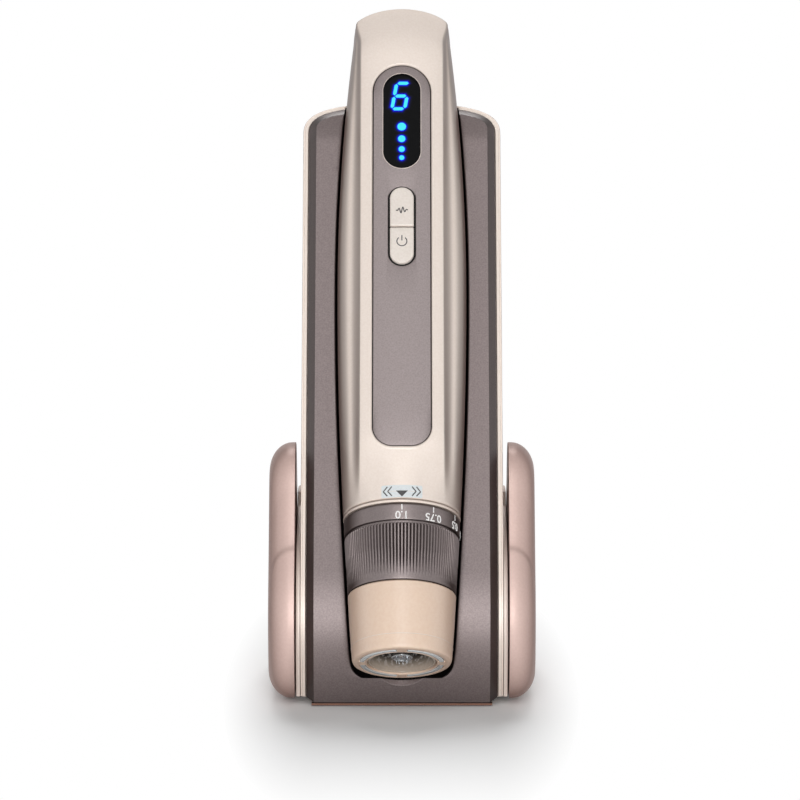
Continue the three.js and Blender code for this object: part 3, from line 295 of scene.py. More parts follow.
class DockSizes(PropertyGroup):
    """Sizes of the dock's fine detail."""

    rim_line: length("Rim line", "Height of the step along the rim", 0.25)
    cheek_pillow: length("Cheek pillow", "How far the cheek's edge rounds in", 7.0)


def tone(name, description, code):
    """A colour property, in linear light, with an opaque default."""
    return FloatVectorProperty(
        name=name, description=description, default=hexed(code), size=4, min=0, max=1, subtype="COLOR"
    )


class Colours(PropertyGroup):
    """The paints' tones: each has its main tone and the lighter one of its grain."""

    champagne: tone("Champagne", "Pen shell", "F0E2D7")
    champagne_grain: tone("Champagne grain", "Lighter grain of the pen shell", "F4E7DD")
    taupe: tone("Taupe", "Dock panel", "736766")
    taupe_grain: tone("Taupe grain", "Flakes in the dock panel's paint", "827675")
    rose: tone("Rose", "Dock cheeks", "DDC0B7")
    rose_grain: tone("Rose grain", "Lighter grain of the dock cheeks", "E1C5BC")


def add(tree, kind, inputs=None, **settings):
    """Adds one node with its settings; an input is a value or the socket that feeds it."""
    node = tree.nodes.new(kind)
    for key, value in settings.items():
        setattr(node, key, value)
    for key, value in (inputs or {}).items():
        if isinstance(value, bpy.types.NodeSocket):
            tree.links.new(value, node.inputs[key])
        else:
            node.inputs[key].default_value = value
    return node


def ranged(tree, value, low, high):
    """How far a value lies from low to high: 0 at or below low, 1 at or above high."""
    bounds = {"Value": value, "From Min": low, "From Max": high}
    return add(tree, "ShaderNodeMapRange", bounds).outputs["Result"]


def mixed(tree, share, one, other, **settings):
    """Two colours mixed by a share. The node's colour sockets are 6 and 7, its result is 2."""
    colours = {0: share, 6: one, 7: other}
    return add(tree, "ShaderNodeMix", colours, data_type="RGBA", **settings).outputs[2]


def grained(tree, place, size_mm, detail):
    """Noise with cells of one real size."""
    inputs = {"Vector": place, "Scale": 1 / (size_mm * MM), "Detail": detail}
    return add(tree, "ShaderNodeTexNoise", inputs).outputs["Fac"]


def fresh(name):
    """A new node material: its tree, its surface shader and its Object coordinates."""
    material = bpy.data.materials.new(name)
    material.use_nodes = True
    tree = material.node_tree
    shader = tree.nodes["Principled BSDF"]
    place = add(tree, "ShaderNodeTexCoord").outputs["Object"]
    return material, tree, shader, place


def speckled(tree, shader, place, dark, light, size_mm, flop, slants):
    """Base colour varied between two close tones by a noise of one real size. A painted shade
    then darkens and warms it between two slants to the camera, leaving the given share at the second."""
    grain = ranged(tree, grained(tree, place, size_mm, 3.0), 0.35, 0.65)
    colour = mixed(tree, grain, dark, light)
    if flop < 1:
        # Painted shade: the base colour darkens and warms where the surface turns away from the camera
        slant = add(tree, "ShaderNodeLayerWeight", {"Blend": 0.5}).outputs["Facing"]
        shade_tint = (flop, flop**SLANT_SHADE_GREEN, flop**SLANT_SHADE_BLUE, 1.0)
        colour = mixed(tree, ranged(tree, slant, *slants), colour, shade_tint, blend_type="MULTIPLY")
    tree.links.new(colour, shader.inputs["Base Color"])


def peeled(tree, shader, place, size_mm, height_mm, strength=0.4):
    """Bump of one real size and height, as sprayed or moulded surfaces have."""
    height = grained(tree, place, size_mm, 2.0)
    bump = add(tree, "ShaderNodeBump", {"Height": height, "Distance": height_mm * MM, "Strength": strength})
    tree.links.new(bump.outputs["Normal"], shader.inputs["Normal"])


def coat(name, dark, light, grain_mm, levels, flop=1.0, slants=(0.12, 0.85), peel=None):
    """A finish from two close tones (hex codes or colours), the size of their grain, the shader's
    levels, the painted shade between two slants, and a peel of size, height and strength if it has one."""
    material, tree, shader, place = fresh(name)
    dark, light = (hexed(t) if isinstance(t, str) else tuple(t) for t in (dark, light))
    speckled(tree, shader, place, dark, light, grain_mm, flop, slants)
    if peel:
        peeled(tree, shader, place, *peel)
    for socket, level in levels.items():
        shader.inputs[socket].default_value = level
    return material


def overlaid(material, share, cover):
    """Lays a colour over a material's own base colour by a share. Returns its tree and shader."""
    tree = material.node_tree
    shader = tree.nodes["Principled BSDF"]
    paint = shader.inputs["Base Color"].links[0].from_socket
    tree.links.new(mixed(tree, share, paint, cover), shader.inputs["Base Color"])
    return tree, shader


def pearl_lacquer():
    """Champagne pearl lacquer over ABS: satin, soft broad highlights, faint pearl specks."""
    tones = bpy.context.scene.colours
    levels = {"Roughness": 0.36, "Metallic": 0.1, "Specular IOR Level": 0.25}
    return coat("pearl_lacquer", tones.champagne, tones.champagne_grain, 0.5, levels,
                0.18, (0.15, 0.85), (0.5, 0.003))


def flake_paint(name="flake_paint"):
    """Taupe metallic paint: fine bright flakes, drawn at 0.35 mm so that they show."""
    tones = bpy.context.scene.colours
    levels = {"Roughness": 0.42, "Metallic": FLAKE_METAL}
    return coat(name, tones.taupe, tones.taupe_grain, 0.35, levels, 0.15, (0.07, 0.5), (0.35, 0.012, 0.5))


def panel_paint():
    """The dock panel's taupe metallic paint; the trough, marked by the mesh, is painted matt black as shade."""
    material = flake_paint("panel_paint")
    trough_shade = add(material.node_tree, "ShaderNodeAttribute", attribute_name="trough_shade").outputs["Fac"]
    # Painted shade: the marked trough turns near black, with no metal and little gloss, in place of its shadow
    tree, shader = overlaid(material, trough_shade, hexed("0C0A0A"))
    for name, paint_level, shade_level in (("Metallic", FLAKE_METAL, 0.0), ("Specular IOR Level", 0.5, 0.15)):
        level = add(tree, "ShaderNodeMapRange", {"Value": trough_shade, "To Min": paint_level, "To Max": shade_level})
        tree.links.new(level.outputs["Result"], shader.inputs[name])
    return material


def face_paint():
    """Taupe metallic paint of the pen's face panel, a little smoother than the dock's."""
    levels = {"Roughness": 0.4, "Metallic": FLAKE_METAL}
    return coat("face_paint", "877C7B", "928786", 0.35, levels, 0.5, peel=(0.35, 0.006))


def dark_anodised():
    """Dark taupe anodised aluminium: metal with fine turning marks round the axis."""
    levels = {"Roughness": 0.42, "Metallic": 0.7}
    return coat("dark_anodised", "796F6E", "827877", 0.4, levels, 0.22, (0.12, 0.6), (0.25, 0.005))


def painted_gap_shade():
    """Matt black painted shade in the button well and the narrow gaps round the panels."""
    return coat("painted_gap_shade", "0C0A0A", "120F0F", 0.4, {"Roughness": 0.6, "Specular IOR Level": 0.2})


def rose_satin():
    """Rose soft-touch paint: broad dull highlight, barely any grain."""
    tones = bpy.context.scene.colours
    levels = {"Roughness": 0.45, "Metallic": 0.2, "Specular IOR Level": 0.3}
    return coat("rose_satin", tones.rose, tones.rose_grain, 0.6, levels, 0.4, (0.03, 0.6), (0.6, 0.008))


def rim_lacquer():
    """Cream lacquer of the dock's rim, satin with fine orange peel."""
    levels = {"Roughness": 0.36, "Metallic": 0.1}
    return coat("rim_lacquer", "F0E1D5", "F3E6DB", 0.6, levels, 0.4, peel=(0.7, 0.008))


def base_lacquer():
    """Champagne lacquer of the dock's base block."""
    levels = {"Roughness": 0.4, "Metallic": 0.12}
    return coat("base_lacquer", "EEDFD4", "F2E4DA", 0.6, levels, 0.6, peel=(0.7, 0.008))


def moulded_beige():
    """Beige satin ABS of the needle cartridge, injection moulded."""
    levels = {"Roughness": 0.35, "Subsurface Weight": 0.05, "Subsurface Radius": (0.002, 0.0015, 0.001)}
    return coat("moulded_beige", "EED3BD", "F1D8C3", 0.7, levels, 0.75, (0.08, 0.5), (0.7, 0.008))


def electrode_plate():
    """Bright nickel plating of the nose electrodes."""
    return coat("electrode_plate", "E4E9EB", "EEF2F4", 0.4, {"Roughness": 0.22, "Metallic": 0.55})


def brushed_steel():
    """Stainless steel: light grey metal with short grain."""
    levels = {"Roughness": 0.26, "Metallic": 1.0}
    return coat("brushed_steel", "B4B7BA", "C6C9CC", 0.15, levels, peel=(0.15, 0.004))


def copper_strip():
    """Copper coloured anodised strip, satin."""
    return coat("copper_strip", "6F5145", "7C5C4F", 0.4, {"Roughness": 0.32, "Metallic": 0.85})


def gold_contact():
    """Hard gold plating on the charging contacts."""
    return coat("gold_contact", "D2A85C", "DDB66C", 0.3, {"Roughness": 0.25, "Metallic": 1.0})


def window_gloss(name="window_gloss"):
    """Black gloss acrylic over the display: mirror-like, almost no diffuse light."""
    return coat(name, "050507", "08080A", 1.5, {"Roughness": 0.05, "IOR": 1.49, "Specular IOR Level": 0.04})


def button_satin():
    """Cream satin ABS of the two buttons."""
    return coat("button_satin", "EDE2D8", "F3E9E0", 0.6, {"Roughness": 0.4}, peel=(0.6, 0.006))


def grey_moulding():
    """Plain grey moulded ABS of the inner pieces."""
    return coat("grey_moulding", "615F5F", "6C6A6A", 0.7, {"Roughness": 0.55}, peel=(0.5, 0.01))


def solder_mask():
    """Green solder mask on a glass-epoxy board: thin gloss over a woven base."""
    return coat("solder_mask", "174430", "1E553B", 0.5, {"Roughness": 0.35}, peel=(0.4, 0.01))


def clear_moulding():
    """Clear moulded polycarbonate of the cartridge bowl: beige from the cup round its mouth, and
    deeper in, a painted dark shade with painted bright glints."""
    levels = {"Roughness": 0.15, "IOR": 1.58, "Transmission Weight": 0.35}
    material = coat("clear_moulding", "DCCBBB", "E2D2C2", 1.0, levels)
    tree = material.node_tree
    place = tree.nodes["Texture Coordinate"].outputs["Object"]
    # Painted shade and painted glints: further up the axis the colour turns dark, with bright noise specks
    dot = add(tree, "ShaderNodeVectorMath", {0: place, 1: tuple(AXIS)}, operation="DOT_PRODUCT")
    mouth = float(NOSE @ AXIS)
    deep = ranged(tree, dot.outputs["Value"], (mouth + BOWL_SHADE_FROM) * MM, (mouth + BOWL_SHADE_FULL) * MM)
    painted_glint = ranged(tree, grained(tree, place, 0.9, 1.0), 0.5, 0.64)
    overlaid(material, deep, mixed(tree, painted_glint, hexed("2B2726"), hexed("D9D6D3")))
    return material


def black_rubber():
    """Black silicone rubber, matt with a fine moulded grain."""
    return coat("black_rubber", "1C1A1A", "262323", 0.4, {"Roughness": 0.75}, peel=(0.3, 0.015))


def cell_wrap():
    """Blue heat-shrink film over the battery can."""
    return coat("cell_wrap", "2F4C74", "3A5A86", 1.0, {"Roughness": 0.3})


def ink(name, code):
    """Printed ink: flat colour with the faint mottling of a pad print."""
    close = "".join(f"{min(255, int(code[i : i + 2], 16) + 8):02X}" for i in (0, 2, 4))
    return coat(name, code, close, 0.3, {"Roughness": 0.5})


def lit(name, code, strength):
    """Light-emitting segment behind the window: colour and strength of its glow."""
    material = window_gloss(name)
    shader = material.node_tree.nodes["Principled BSDF"]
    shader.inputs["Emission Color"].default_value = hexed(code)
    shader.inputs["Emission Strength"].default_value = strength
    return material


MADE = {}


def finish(look):
    """One shared material per finish, made when first asked for."""
    if look not in MADE:
        MADE[look] = look()
    return MADE[look]


# Surfaces: rows of points joined into closed skins


def quads(rows, columns, wrap):
    """Index quads of a grid of rows by columns; wrap joins the last column to the first."""
    r = np.arange(rows - 1)[:, None]
    c = np.arange(columns if wrap else columns - 1)[None, :]
    n = (c + 1) % columns
    a = r * columns + c
    b = r * columns + n
    return np.stack([a, b, b + columns, a + columns], axis=-1).reshape(-1, 4)


def signed_volume(points, faces):
    """Six times the volume inside quads, by the sum of p0 . (p1 x p2) over their triangles."""
    p = points[faces]
    one = np.einsum("ij,ij->i", p[:, 0], np.cross(p[:, 1], p[:, 2]))
    two = np.einsum("ij,ij->i", p[:, 0], np.cross(p[:, 2], p[:, 3]))
    return float((one + two).sum())


def skin(grid, low="face", high="face"):
    """A closed skin over rows that wrap round. An end is one flat face, a fan to its centre,
    a ladder between mirrored columns, or open where the last row meets the first."""
    rows, columns = grid.shape[:2]
    points = grid.reshape(-1, 3)
    faces = quads(rows, columns, True)
    extra = []
    if low == "join":
        last = (rows - 1) * columns + np.arange(columns)
        first = np.arange(columns)
        closing = np.stack([last, np.roll(last, -1), np.roll(first, -1), first], axis=-1)
        faces = np.vstack([faces, closing])
    else:
        for row, kind, flip in ((0, low, True), (rows - 1, high, False)):
            ring = row * columns + np.arange(columns)
            if kind == "face":
                extra.append((ring[::-1] if flip else ring).tolist())
            elif kind == "fan":
                centre = len(points)
                points = np.vstack([points, points[ring].mean(axis=0)])
                nxt = np.roll(ring, -1)
                tri = np.stack([np.full(columns, centre), ring, nxt], axis=-1)
                extra += (tri[:, [0, 2, 1]] if flip else tri).tolist()
            else:
                i = np.arange(columns // 2 - 1)
                step = np.stack([ring[i], ring[i + 1], ring[columns - 2 - i], ring[columns - 1 - i]], axis=-1)
                extra += (step[:, ::-1] if flip else step).tolist()
    if signed_volume(points - points.mean(axis=0), faces) < 0:
        faces = faces[:, ::-1]
        extra = [f[::-1] for f in extra]
    return points, faces.tolist() + extra


def together(*parts):
    """Several skins as one list of points and faces."""
    points, faces, start = [], [], 0
    for p, f in parts:
        points.append(p)
        faces += [[i + start for i in face] for face in f]
        start += len(p)
    return np.vstack(points), faces


def make(name, part, material, body, stands_for=(), sharp=35.0):
    """One object at the origin from points in millimetres, smooth but for its sharp edges."""
    points, faces = part
    mesh = bpy.data.meshes.new(name)
    mesh.from_pydata((points * MM).tolist(), [], faces)
    mesh.validate()
    mesh.polygons.foreach_set("use_smooth", np.ones(len(mesh.polygons), dtype=bool))
    mesh.set_sharp_from_angle(angle=math.radians(sharp))
    mesh.materials.append(material)
    piece = bpy.data.objects.new(name, mesh)
    bpy.context.scene.collection.objects.link(piece)
    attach(piece, body)
    if stands_for:
        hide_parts(*stands_for)
    return piece


def on_pen(x, h, s):
    """Pen coordinates to the row's: nose point plus h along the front and s along the axis."""
    x, h, s = np.broadcast_arrays(np.asarray(x, float), h, s)
    y = NOSE[1] + h * FRONT[1] + s * AXIS[1]
    z = NOSE[2] + h * FRONT[2] + s * AXIS[2]
    return np.stack([x, y, z], axis=-1)


def on_slab(x, u, depth):
    """Slab coordinates to the row's: straight up the lean above u = 0, round the chin below."""
    x, u, depth = np.broadcast_arrays(np.asarray(x, float), u, depth)
    turn = LEAN + np.minimum(u, 0) / CHIN_RADIUS
    reach = CHIN_RADIUS - depth
    up = np.maximum(u, 0)
    y = CHIN_RADIUS - reach * np.cos(turn) + up * math.sin(LEAN)
    z = CHIN_HEIGHT + reach * np.sin(turn) + up * math.cos(LEAN)
    return np.stack([x, y + SHIFT, z], axis=-1)


def around(radius, turn, s):
    """Points on circles round the pen's axis: a turn of zero faces the front."""
    return on_pen(radius * np.sin(turn), radius * np.cos(turn), s)


def revolved(profile, columns=192):
    """A profile of (radius, s) turned round the pen's axis and joined into a ring."""
    t = np.linspace(0, 2 * np.pi, columns, endpoint=False)[None, :]
    return skin(around(profile[:, :1], t, profile[:, 1:]), "join")


def filleted(corners, radius):
    """A profile's corners rounded by short arcs: each is cut back by radius and joined by a
    quadratic curve of four points that bends towards the corner."""
    c = np.asarray(corners, float)
    before = np.roll(c, 1, axis=0)
    after = np.roll(c, -1, axis=0)
    lb = np.linalg.norm(before - c, axis=1)
    la = np.linalg.norm(after - c, axis=1)
    cut = np.minimum(radius, 0.45 * np.minimum(lb, la))[:, None]
    p0 = c + (before - c) / np.maximum(lb, 1e-9)[:, None] * cut
    p2 = c + (after - c) / np.maximum(la, 1e-9)[:, None] * cut
    t = np.linspace(0, 1, 4)[None, :, None]
    curve = (1 - t) ** 2 * p0[:, None] + 2 * t * (1 - t) * c[:, None] + t**2 * p2[:, None]
    return curve.reshape(-1, 2)


# Pen body section


def belly(s, collar, middle, tail):
    """Parabolas that meet at the belly: middle minus the drop times squared distance."""
    low = middle - (middle - collar) * ((BELLY_S - s) / (BELLY_S - BODY_START)) ** 2
    high = middle - (middle - tail) * ((s - BELLY_S) / (TAIL_S - BELLY_S)) ** 2
    return np.where(s < BELLY_S, low, high)


def front_height(s):
    """Height of the front facet's edge over the axis."""
    t = np.clip((s - FACE_LOW) / (TAIL_S - FACE_LOW), 0, 1)
    return COLLAR_R - (COLLAR_R - TAIL_FRONT) * t**1.3


def smooth_step(value, low, high):
    """3t^2 - 2t^3 between two bounds."""
    t = np.clip((value - low) / (high - low), 0, 1)
    return t * t * (3 - 2 * t)


def facet_surface(x, s):
    """Height over the axis of the front facet: its edge height plus a shallow crown, blended
    into the collar's circle near the nose. The circle is stretched sideways to the belly."""
    x, s = np.broadcast_arrays(np.asarray(x, float), np.asarray(s, float))
    share = np.clip(np.abs(x) / FACET_HALF, 0, 1)
    flat = front_height(s) + FACET_CROWN * (1 - share**2) - FACET_ROLL * share**8
    w = belly(s, COLLAR_R, BELLY_HALF, TAIL_HALF)
    k = smooth_step(s, BODY_START, FACET_FULL)
    return flat * k + COLLAR_R * np.sqrt(np.maximum(1 - (x / w) ** 2, 0)) * (1 - k)


def arch_lift(x, s):
    """The tail's end is an arch across the pen, between a parabola and an ellipse, that fades out
    below it."""
    across = np.maximum(0, 1 - (x / (TAIL_HALF + 0.1)) ** 2)
    return TAIL_ARCH * smooth_step(s, TAIL_ARCH_S, TAIL_S) * across**0.7


def body_section(s, step):
    """Closed rings of the pen body: crowned front facet, step, side facet, rounded back."""
    s = np.asarray(s, float)[:, None]
    w = belly(s, COLLAR_R, BELLY_HALF, TAIL_HALF)
    rear = belly(s, COLLAR_R, BELLY_REAR, TAIL_REAR)
    front = front_height(s) - TAIL_DROP * smooth_step(s, TAIL_S - 11, TAIL_S + 3)
    spread = FACET_HALF + FACET_SPREAD * smooth_step(s, FACET_SPREAD_S, TAIL_S)
    share = [np.linspace(0, 0.66, 12), np.linspace(0.67, 0.82, 14), np.linspace(0.84, 1, 12)]
    share = np.concatenate(share)[None, :]
    facet = (share * spread, front + FACET_CROWN * (1 - share**2) - FACET_ROLL * share**8)
    q = np.linspace(0, 1, 7)[None, 1:]
    edge = (spread + EDGE_RUN * q, front - FACET_ROLL - step * q**1.2)
    # The side facet is steep under the edge, eases towards the front, and is steep again outside
    t = np.linspace(0, 1, 30)[None, 1:]
    x0, h0 = spread + EDGE_RUN, front - FACET_ROLL - step
    x1, h1 = np.maximum(w - SIDE_ROLL, x0 + 0.3), SIDE_LOW
    side = (x0 + (x1 - x0) * t, h0 + (h1 - h0) * (t + SIDE_SWAY * np.sin(2 * np.pi * t)))
    t = np.linspace(0, 1, 8)[None, 1:]
    roll = (x1 + (w - x1) * np.sin(t * np.pi / 2), h1 * (1 - t) + 0 * w)
    t = np.linspace(0, np.pi / 2, 26)[None, 1:]
    back = (w * np.maximum(np.cos(t), 0) ** (2 / REAR_POWER), -rear * np.sin(t) ** (2 / REAR_POWER))
    x = np.hstack([facet[0], edge[0], side[0], roll[0], back[0]])
    h = np.hstack([facet[1], edge[1], side[1], roll[1], back[1]])
    x = np.hstack([x, -x[:, -2:0:-1]])
    h = np.hstack([h, h[:, -2:0:-1]])
    for _ in range(2):
        x = (np.roll(x, 1, 1) + 2 * x + np.roll(x, -1, 1)) / 4
        h = (np.roll(h, 1, 1) + 2 * h + np.roll(h, -1, 1)) / 4
    k = smooth_step(s, BODY_START, FACET_FULL)
    far = np.hypot(x, h)
    round_x = np.where(h > 0, x, w * x / far)
    round_h = COLLAR_R * np.where(h > 0, np.sqrt(np.maximum(1 - (x / w) ** 2, 0)), h / far)
    return round_x * (1 - k) + x * k, round_h * (1 - k) + h * k


# Rounded bars lying on the pen's front


def bar_outline(bar, inset=0.0):
    """Mirror-symmetric closed outline of a bar with round corners, drawn in by inset. It runs
    up the right side and down the left, so that column i faces column -1-i."""
    half, low, high, low_round, high_round = bar
    half, low, high = half - inset, low + inset, high - inset
    rl = max(low_round - inset, 0.0)
    rh = max(high_round - inset, 0.0)
    a = np.linspace(-np.pi / 2, 0, 24)
    x_low = half - rl + rl * np.cos(a)
    s_low = low + rl + rl * np.sin(a)
    b = np.linspace(0, np.pi / 2, 24)
    x_high = half - rh + rh * np.cos(b)
    s_high = high - rh + rh * np.sin(b)
    bottom = np.linspace(0.02, 1, 6)[:-1]
    mid = np.linspace(0, 1, 60)[1:-1]
    x = np.concatenate([
        (half - rl) * bottom,
        x_low,
        np.full(58, half),
        x_high,
        (half - rh) * bottom[::-1],
    ])
    s = np.concatenate([
        np.full(5, low),
        s_low,
        s_low[-1] + (s_high[0] - s_low[-1]) * mid,
        s_high,
        np.full(5, high),
    ])
    return np.concatenate([x, -x[::-1]]), np.concatenate([s, s[::-1]])


def on_facet(x, s, lift):
    """Points of the front facet at a height over it."""
    return on_pen(x, facet_surface(x, s) + lift, s)


def bar_plate(bar, lift, edge, skirt):
    """A plate that follows the front facet: a quarter-round edge, then level to its middle,
    with sides down to skirt below its top. Each end is closed by a ladder of quads."""
    half, low, high = bar[:3]
    reach = min(half, (high - low) / 2) - 0.05
    turn = np.linspace(0, np.pi / 2, 6)
    insets = np.concatenate([[0], edge * (1 - np.cos(turn)), np.linspace(edge, reach, 7)[1:]])
    drops = np.concatenate([[skirt], edge * (1 - np.sin(turn)), np.zeros(6)])
    rows = [on_facet(*bar_outline(bar, inset), lift - drop) for inset, drop in zip(insets, drops)]
    return skin(np.stack(rows), "ladder", "ladder")


def bar_frame(outer, inner, lift, skirt, edge):
    """A closed frame between two bars' outlines, with sides down to skirt below its top."""
    xo, so = bar_outline(outer)
    xi, si = bar_outline(inner)
    profile = [(0, skirt), (0, edge), (0.02, 0)] + [(q, 0) for q in (0.2, 0.4, 0.6, 0.8)]
    profile += [(0.98, 0), (1, edge), (1, skirt)]
    rows = [on_facet(xo + (xi - xo) * t, so + (si - so) * t, lift - drop) for t, drop in profile]
    return skin(np.stack(rows), "join")


def bar_lip(bar, profile):
    """A closed lip round a bar's outline; the profile gives (offset outwards, lift)."""
    return skin(np.stack([on_facet(*bar_outline(bar, -out), lift) for out, lift in profile]), "join")


class PEN_OT_body(Operator):
    """Pen housing: a swelling shell with a raised front facet, sunk under the face panel."""

    bl_idname = "pen.body"
    bl_label = "Pen body"

    def execute(self, context):
        s = np.concatenate([np.linspace(*span) for span in BODY_ROWS])
        x, h = body_section(s, context.scene.pen_sizes.facet_step)
        station = s[:, None] + arch_lift(x, s[:, None])
        # The first rows are drawn in a little, which rounds the end at the collar
        inset = np.array([0.35, 0.15, 0.05, 0.0])
        x[:4] *= 1 - inset[:, None] / COLLAR_R
        h[:4] *= 1 - inset[:, None] / COLLAR_R
        # Distance outside the face panel's outline: below zero where the panel covers the shell
        aside = np.maximum(np.abs(x) - (FACE_HALF - FACE_ROUND), 0)
        low_end = np.hypot(aside, np.maximum(FACE_LOW + FACE_ROUND - station, 0)) - FACE_ROUND
        high_end = np.hypot(x, np.maximum(station - FACE_HIGH + FACE_HALF, 0)) - FACE_HALF
        edge = np.where(station < (FACE_LOW + FACE_HIGH) / 2, low_end, high_end)
        in_ends = (station < FACE_LOW + FACE_ROUND) | (station > FACE_HIGH - FACE_HALF)
        edge = np.where(in_ends, edge, np.abs(x) - FACE_HALF)
        edge = np.where(h > 0, edge, np.inf)
        h = h - FACE_SINK * np.clip((0.62 - edge) / 0.4, 0, 1)
        # Tail end: the last ring shrinks as it climbs a little, which rounds the arch's edge
        c = np.sin(np.linspace(np.pi / 2, 0.05, 26))[1:]
        round_x = np.concatenate([x[-1:] * k for k in c])
        round_h = np.concatenate([h[-1:] * k for k in c])
        climb = TAIL_S + 0.05 + DOME * (1 - c**2)[:, None] + arch_lift(round_x, TAIL_S)
        start = on_pen(x[:1] * 0.82, h[:1] * 0.82, s[:1, None])
        grid = np.concatenate([start, on_pen(x, h, station), on_pen(round_x, round_h, climb)])
        make("pen_body", skin(grid, "face", "fan"), finish(pearl_lacquer),
             "pen", ("pen_front_shell", "pen_rear_shell"), sharp=50)
        return {"FINISHED"}


class PEN_OT_face(Operator):
    """Face panel with its raised lip, the display window and the button well."""

    bl_idname = "pen.face"
    bl_label = "Face panel"

    def execute(self, context):
        w = context.scene.pen_sizes.bead_width
        bead = [(BEAD_FROM + w * across, lift) for across, lift in BEAD]
        gap = finish(painted_gap_shade)
        panel = bar_frame(FACE, WELL, -0.3, 1.6, 0.15)
        make("face_panel", panel, finish(face_paint), "pen", ("pen_face_panel",))
        make("face_lip", bar_lip(FACE, bead), finish(pearl_lacquer), "pen")
        # Painted shade: a black ring in the gap round the face panel
        make("face_gap", bar_lip(FACE, FACE_GAP), gap, "pen")
        window = bar_plate(WINDOW, -0.24, 0.15, 1.0)
        make("window", window, finish(window_gloss), "pen", ("display_window",))
        make("window_trim", bar_lip(WINDOW, WINDOW_TRIM), finish(rim_lacquer), "pen")
        # Painted shade: a black plate as the floor of the well under the buttons
        make("button_well", bar_plate(WELL_FLOOR, -0.6, 0.05, 0.8), gap, "pen")
        return {"FINISHED"}


def tablet(outline, lift, thick=PRINT_THICK):
    """A thin closed tablet with a flat outline of (x, s), laid on the front facet."""
    x, s = np.asarray(outline, float).T
    return skin(np.stack([on_facet(x, s, lift - thick), on_facet(x, s, lift)]))


def disc(x, s, radius, lift):
    """A thin round tablet on the front facet."""
    t = np.linspace(0, 2 * np.pi, 28, endpoint=False)
    return tablet(np.stack([x + radius * np.cos(t), s + radius * np.sin(t)], axis=-1), lift, LIGHT_THICK)


def stroke(path, width, lift):
    """A drawn line of one width along a path of (x, s), closed at both ends: each point is
    pushed half the width to either side, square to the path."""
    p = np.asarray(path, float)
    d = np.gradient(p, axis=0)
    d /= np.linalg.norm(d, axis=1)[:, None]
    side = np.stack([-d[:, 1], d[:, 0]], axis=-1) * width / 2
    left, right = (p + side).T, (p - side).T
    rows = [on_facet(*left, lift - PRINT_THICK), on_facet(*right, lift - PRINT_THICK),
            on_facet(*right, lift), on_facet(*left, lift)]
    return skin(np.stack(rows, axis=1))


def segment(x0, s0, x1, s1, grow):
    """Outline of one pointed display segment from end to end, widened by grow on every side and
    slanted to the right with height."""
    a, b = np.array([x0, s0]), np.array([x1, s1])
    d = (b - a) / np.linalg.norm(b - a)
    n = np.array([-d[1], d[0]]) * (SEGMENT_WIDTH / 2 + grow)
    tip = d * (SEGMENT_WIDTH / 2 + grow * 0.4)
    a, b = a - d * grow, b + d * grow
    outline = np.array([a, a + tip + n, b - tip + n, b, b - tip - n, a + tip - n])
    return outline + np.stack([outline[:, 1] * SEGMENT_LEAN, np.zeros(6)], axis=-1) + np.array(FIGURE_AT)


class PEN_OT_display(Operator):
    """Lit level digit and the four battery dots behind the window, each with a blue fringe."""

    bl_idname = "pen.display"
    bl_label = "Display"

    def execute(self, context):
        gap, w, t = FIGURE_GAP, FIGURE_HALF, FIGURE_RISE
        bars = (
            (-w + gap, t, w - gap, t),
            (-w, t - gap, -w, gap),
            (-w + gap, 0, w - gap, 0),
            (-w, -gap, -w, -t + gap),
            (w, -gap, w, -t + gap),
            (-w + gap, -t, w - gap, -t),
        )
        for name, grow, lift, colour, strength in LAYERS:
            parts = [tablet(segment(*b, grow), lift, LIGHT_THICK) for b in bars]
            parts += [disc(DOTS_X, s, r + grow, lift) for s, r in DOTS]
            light = lit(f"{name}_light", colour, strength)
            make(f"display_{name}", together(*parts), light, "pen")
        return {"FINISHED"}


class PEN_OT_buttons(Operator):
    """Two cream buttons in one stadium, with a pulse mark and a power mark."""

    bl_idname = "pen.buttons"
    bl_label = "Buttons"

    def execute(self, context):
        proud = context.scene.pen_sizes.button_proud
        keys = (("mode_key", MODE_KEY, "mode_button"), ("power_key", POWER_KEY, "power_button"))
        for name, bar, solid in keys:
            key = bar_plate(bar, proud, 0.4, 2.4)
            make(name, key, finish(button_satin), name, (solid,))
        lift = proud + 0.02
        dark = ink("mark_grey", "4A4546")
        t = np.linspace(-1.5, 1.5, 60)
        pulse = PULSE_AT + 0.85 * np.sin(t * 2 * np.pi) * np.exp(-(t**2) / 0.9)
        line = stroke(np.stack([t, pulse], axis=-1), 0.28, lift)
        make("mode_mark", line, dark, "mode_key")
        a = np.linspace(math.radians(130), math.radians(410), 60)
        arc = np.stack([POWER_RADIUS * np.cos(a), POWER_AT + POWER_RADIUS * np.sin(a)], axis=-1)
        bar = np.stack([np.zeros(8), np.linspace(POWER_AT + 0.2, POWER_AT + 1.65, 8)], axis=-1)
        mark = together(stroke(arc, 0.26, lift), stroke(bar, 0.26, lift))
        make("power_mark", mark, dark, "power_key")
        return {"FINISHED"}


class PEN_OT_label(Operator):
    """Pale printed label over the dial: a pointer between double chevrons."""

    bl_idname = "pen.label"
    bl_label = "Depth pointer"

    def execute(self, context):
        plate = bar_plate(LABEL, 0.03, 0.02, 0.3)
        make("pointer_label", plate, ink("label_white", "DFE4E6"), "pen")
        dark = ink("label_grey", "3A3839")
        tip = tablet([(-1.45, 40.0), (0, 40.0), (1.45, 40.0), (0, 38.45)], 0.16)
        make("pointer_tip", tip, dark, "pen")
        marks = []
        for side in (-1, 1):
            for x in (3.5, 4.6):
                for s in (41.1, 38.7):
                    line = np.linspace([side * (x - 1.0), s], [side * x, 39.9], 5)
                    marks.append(stroke(line, 0.26, 0.09))
        make("pointer_chevrons", together(*marks), dark, "pen")
        return {"FINISHED"}


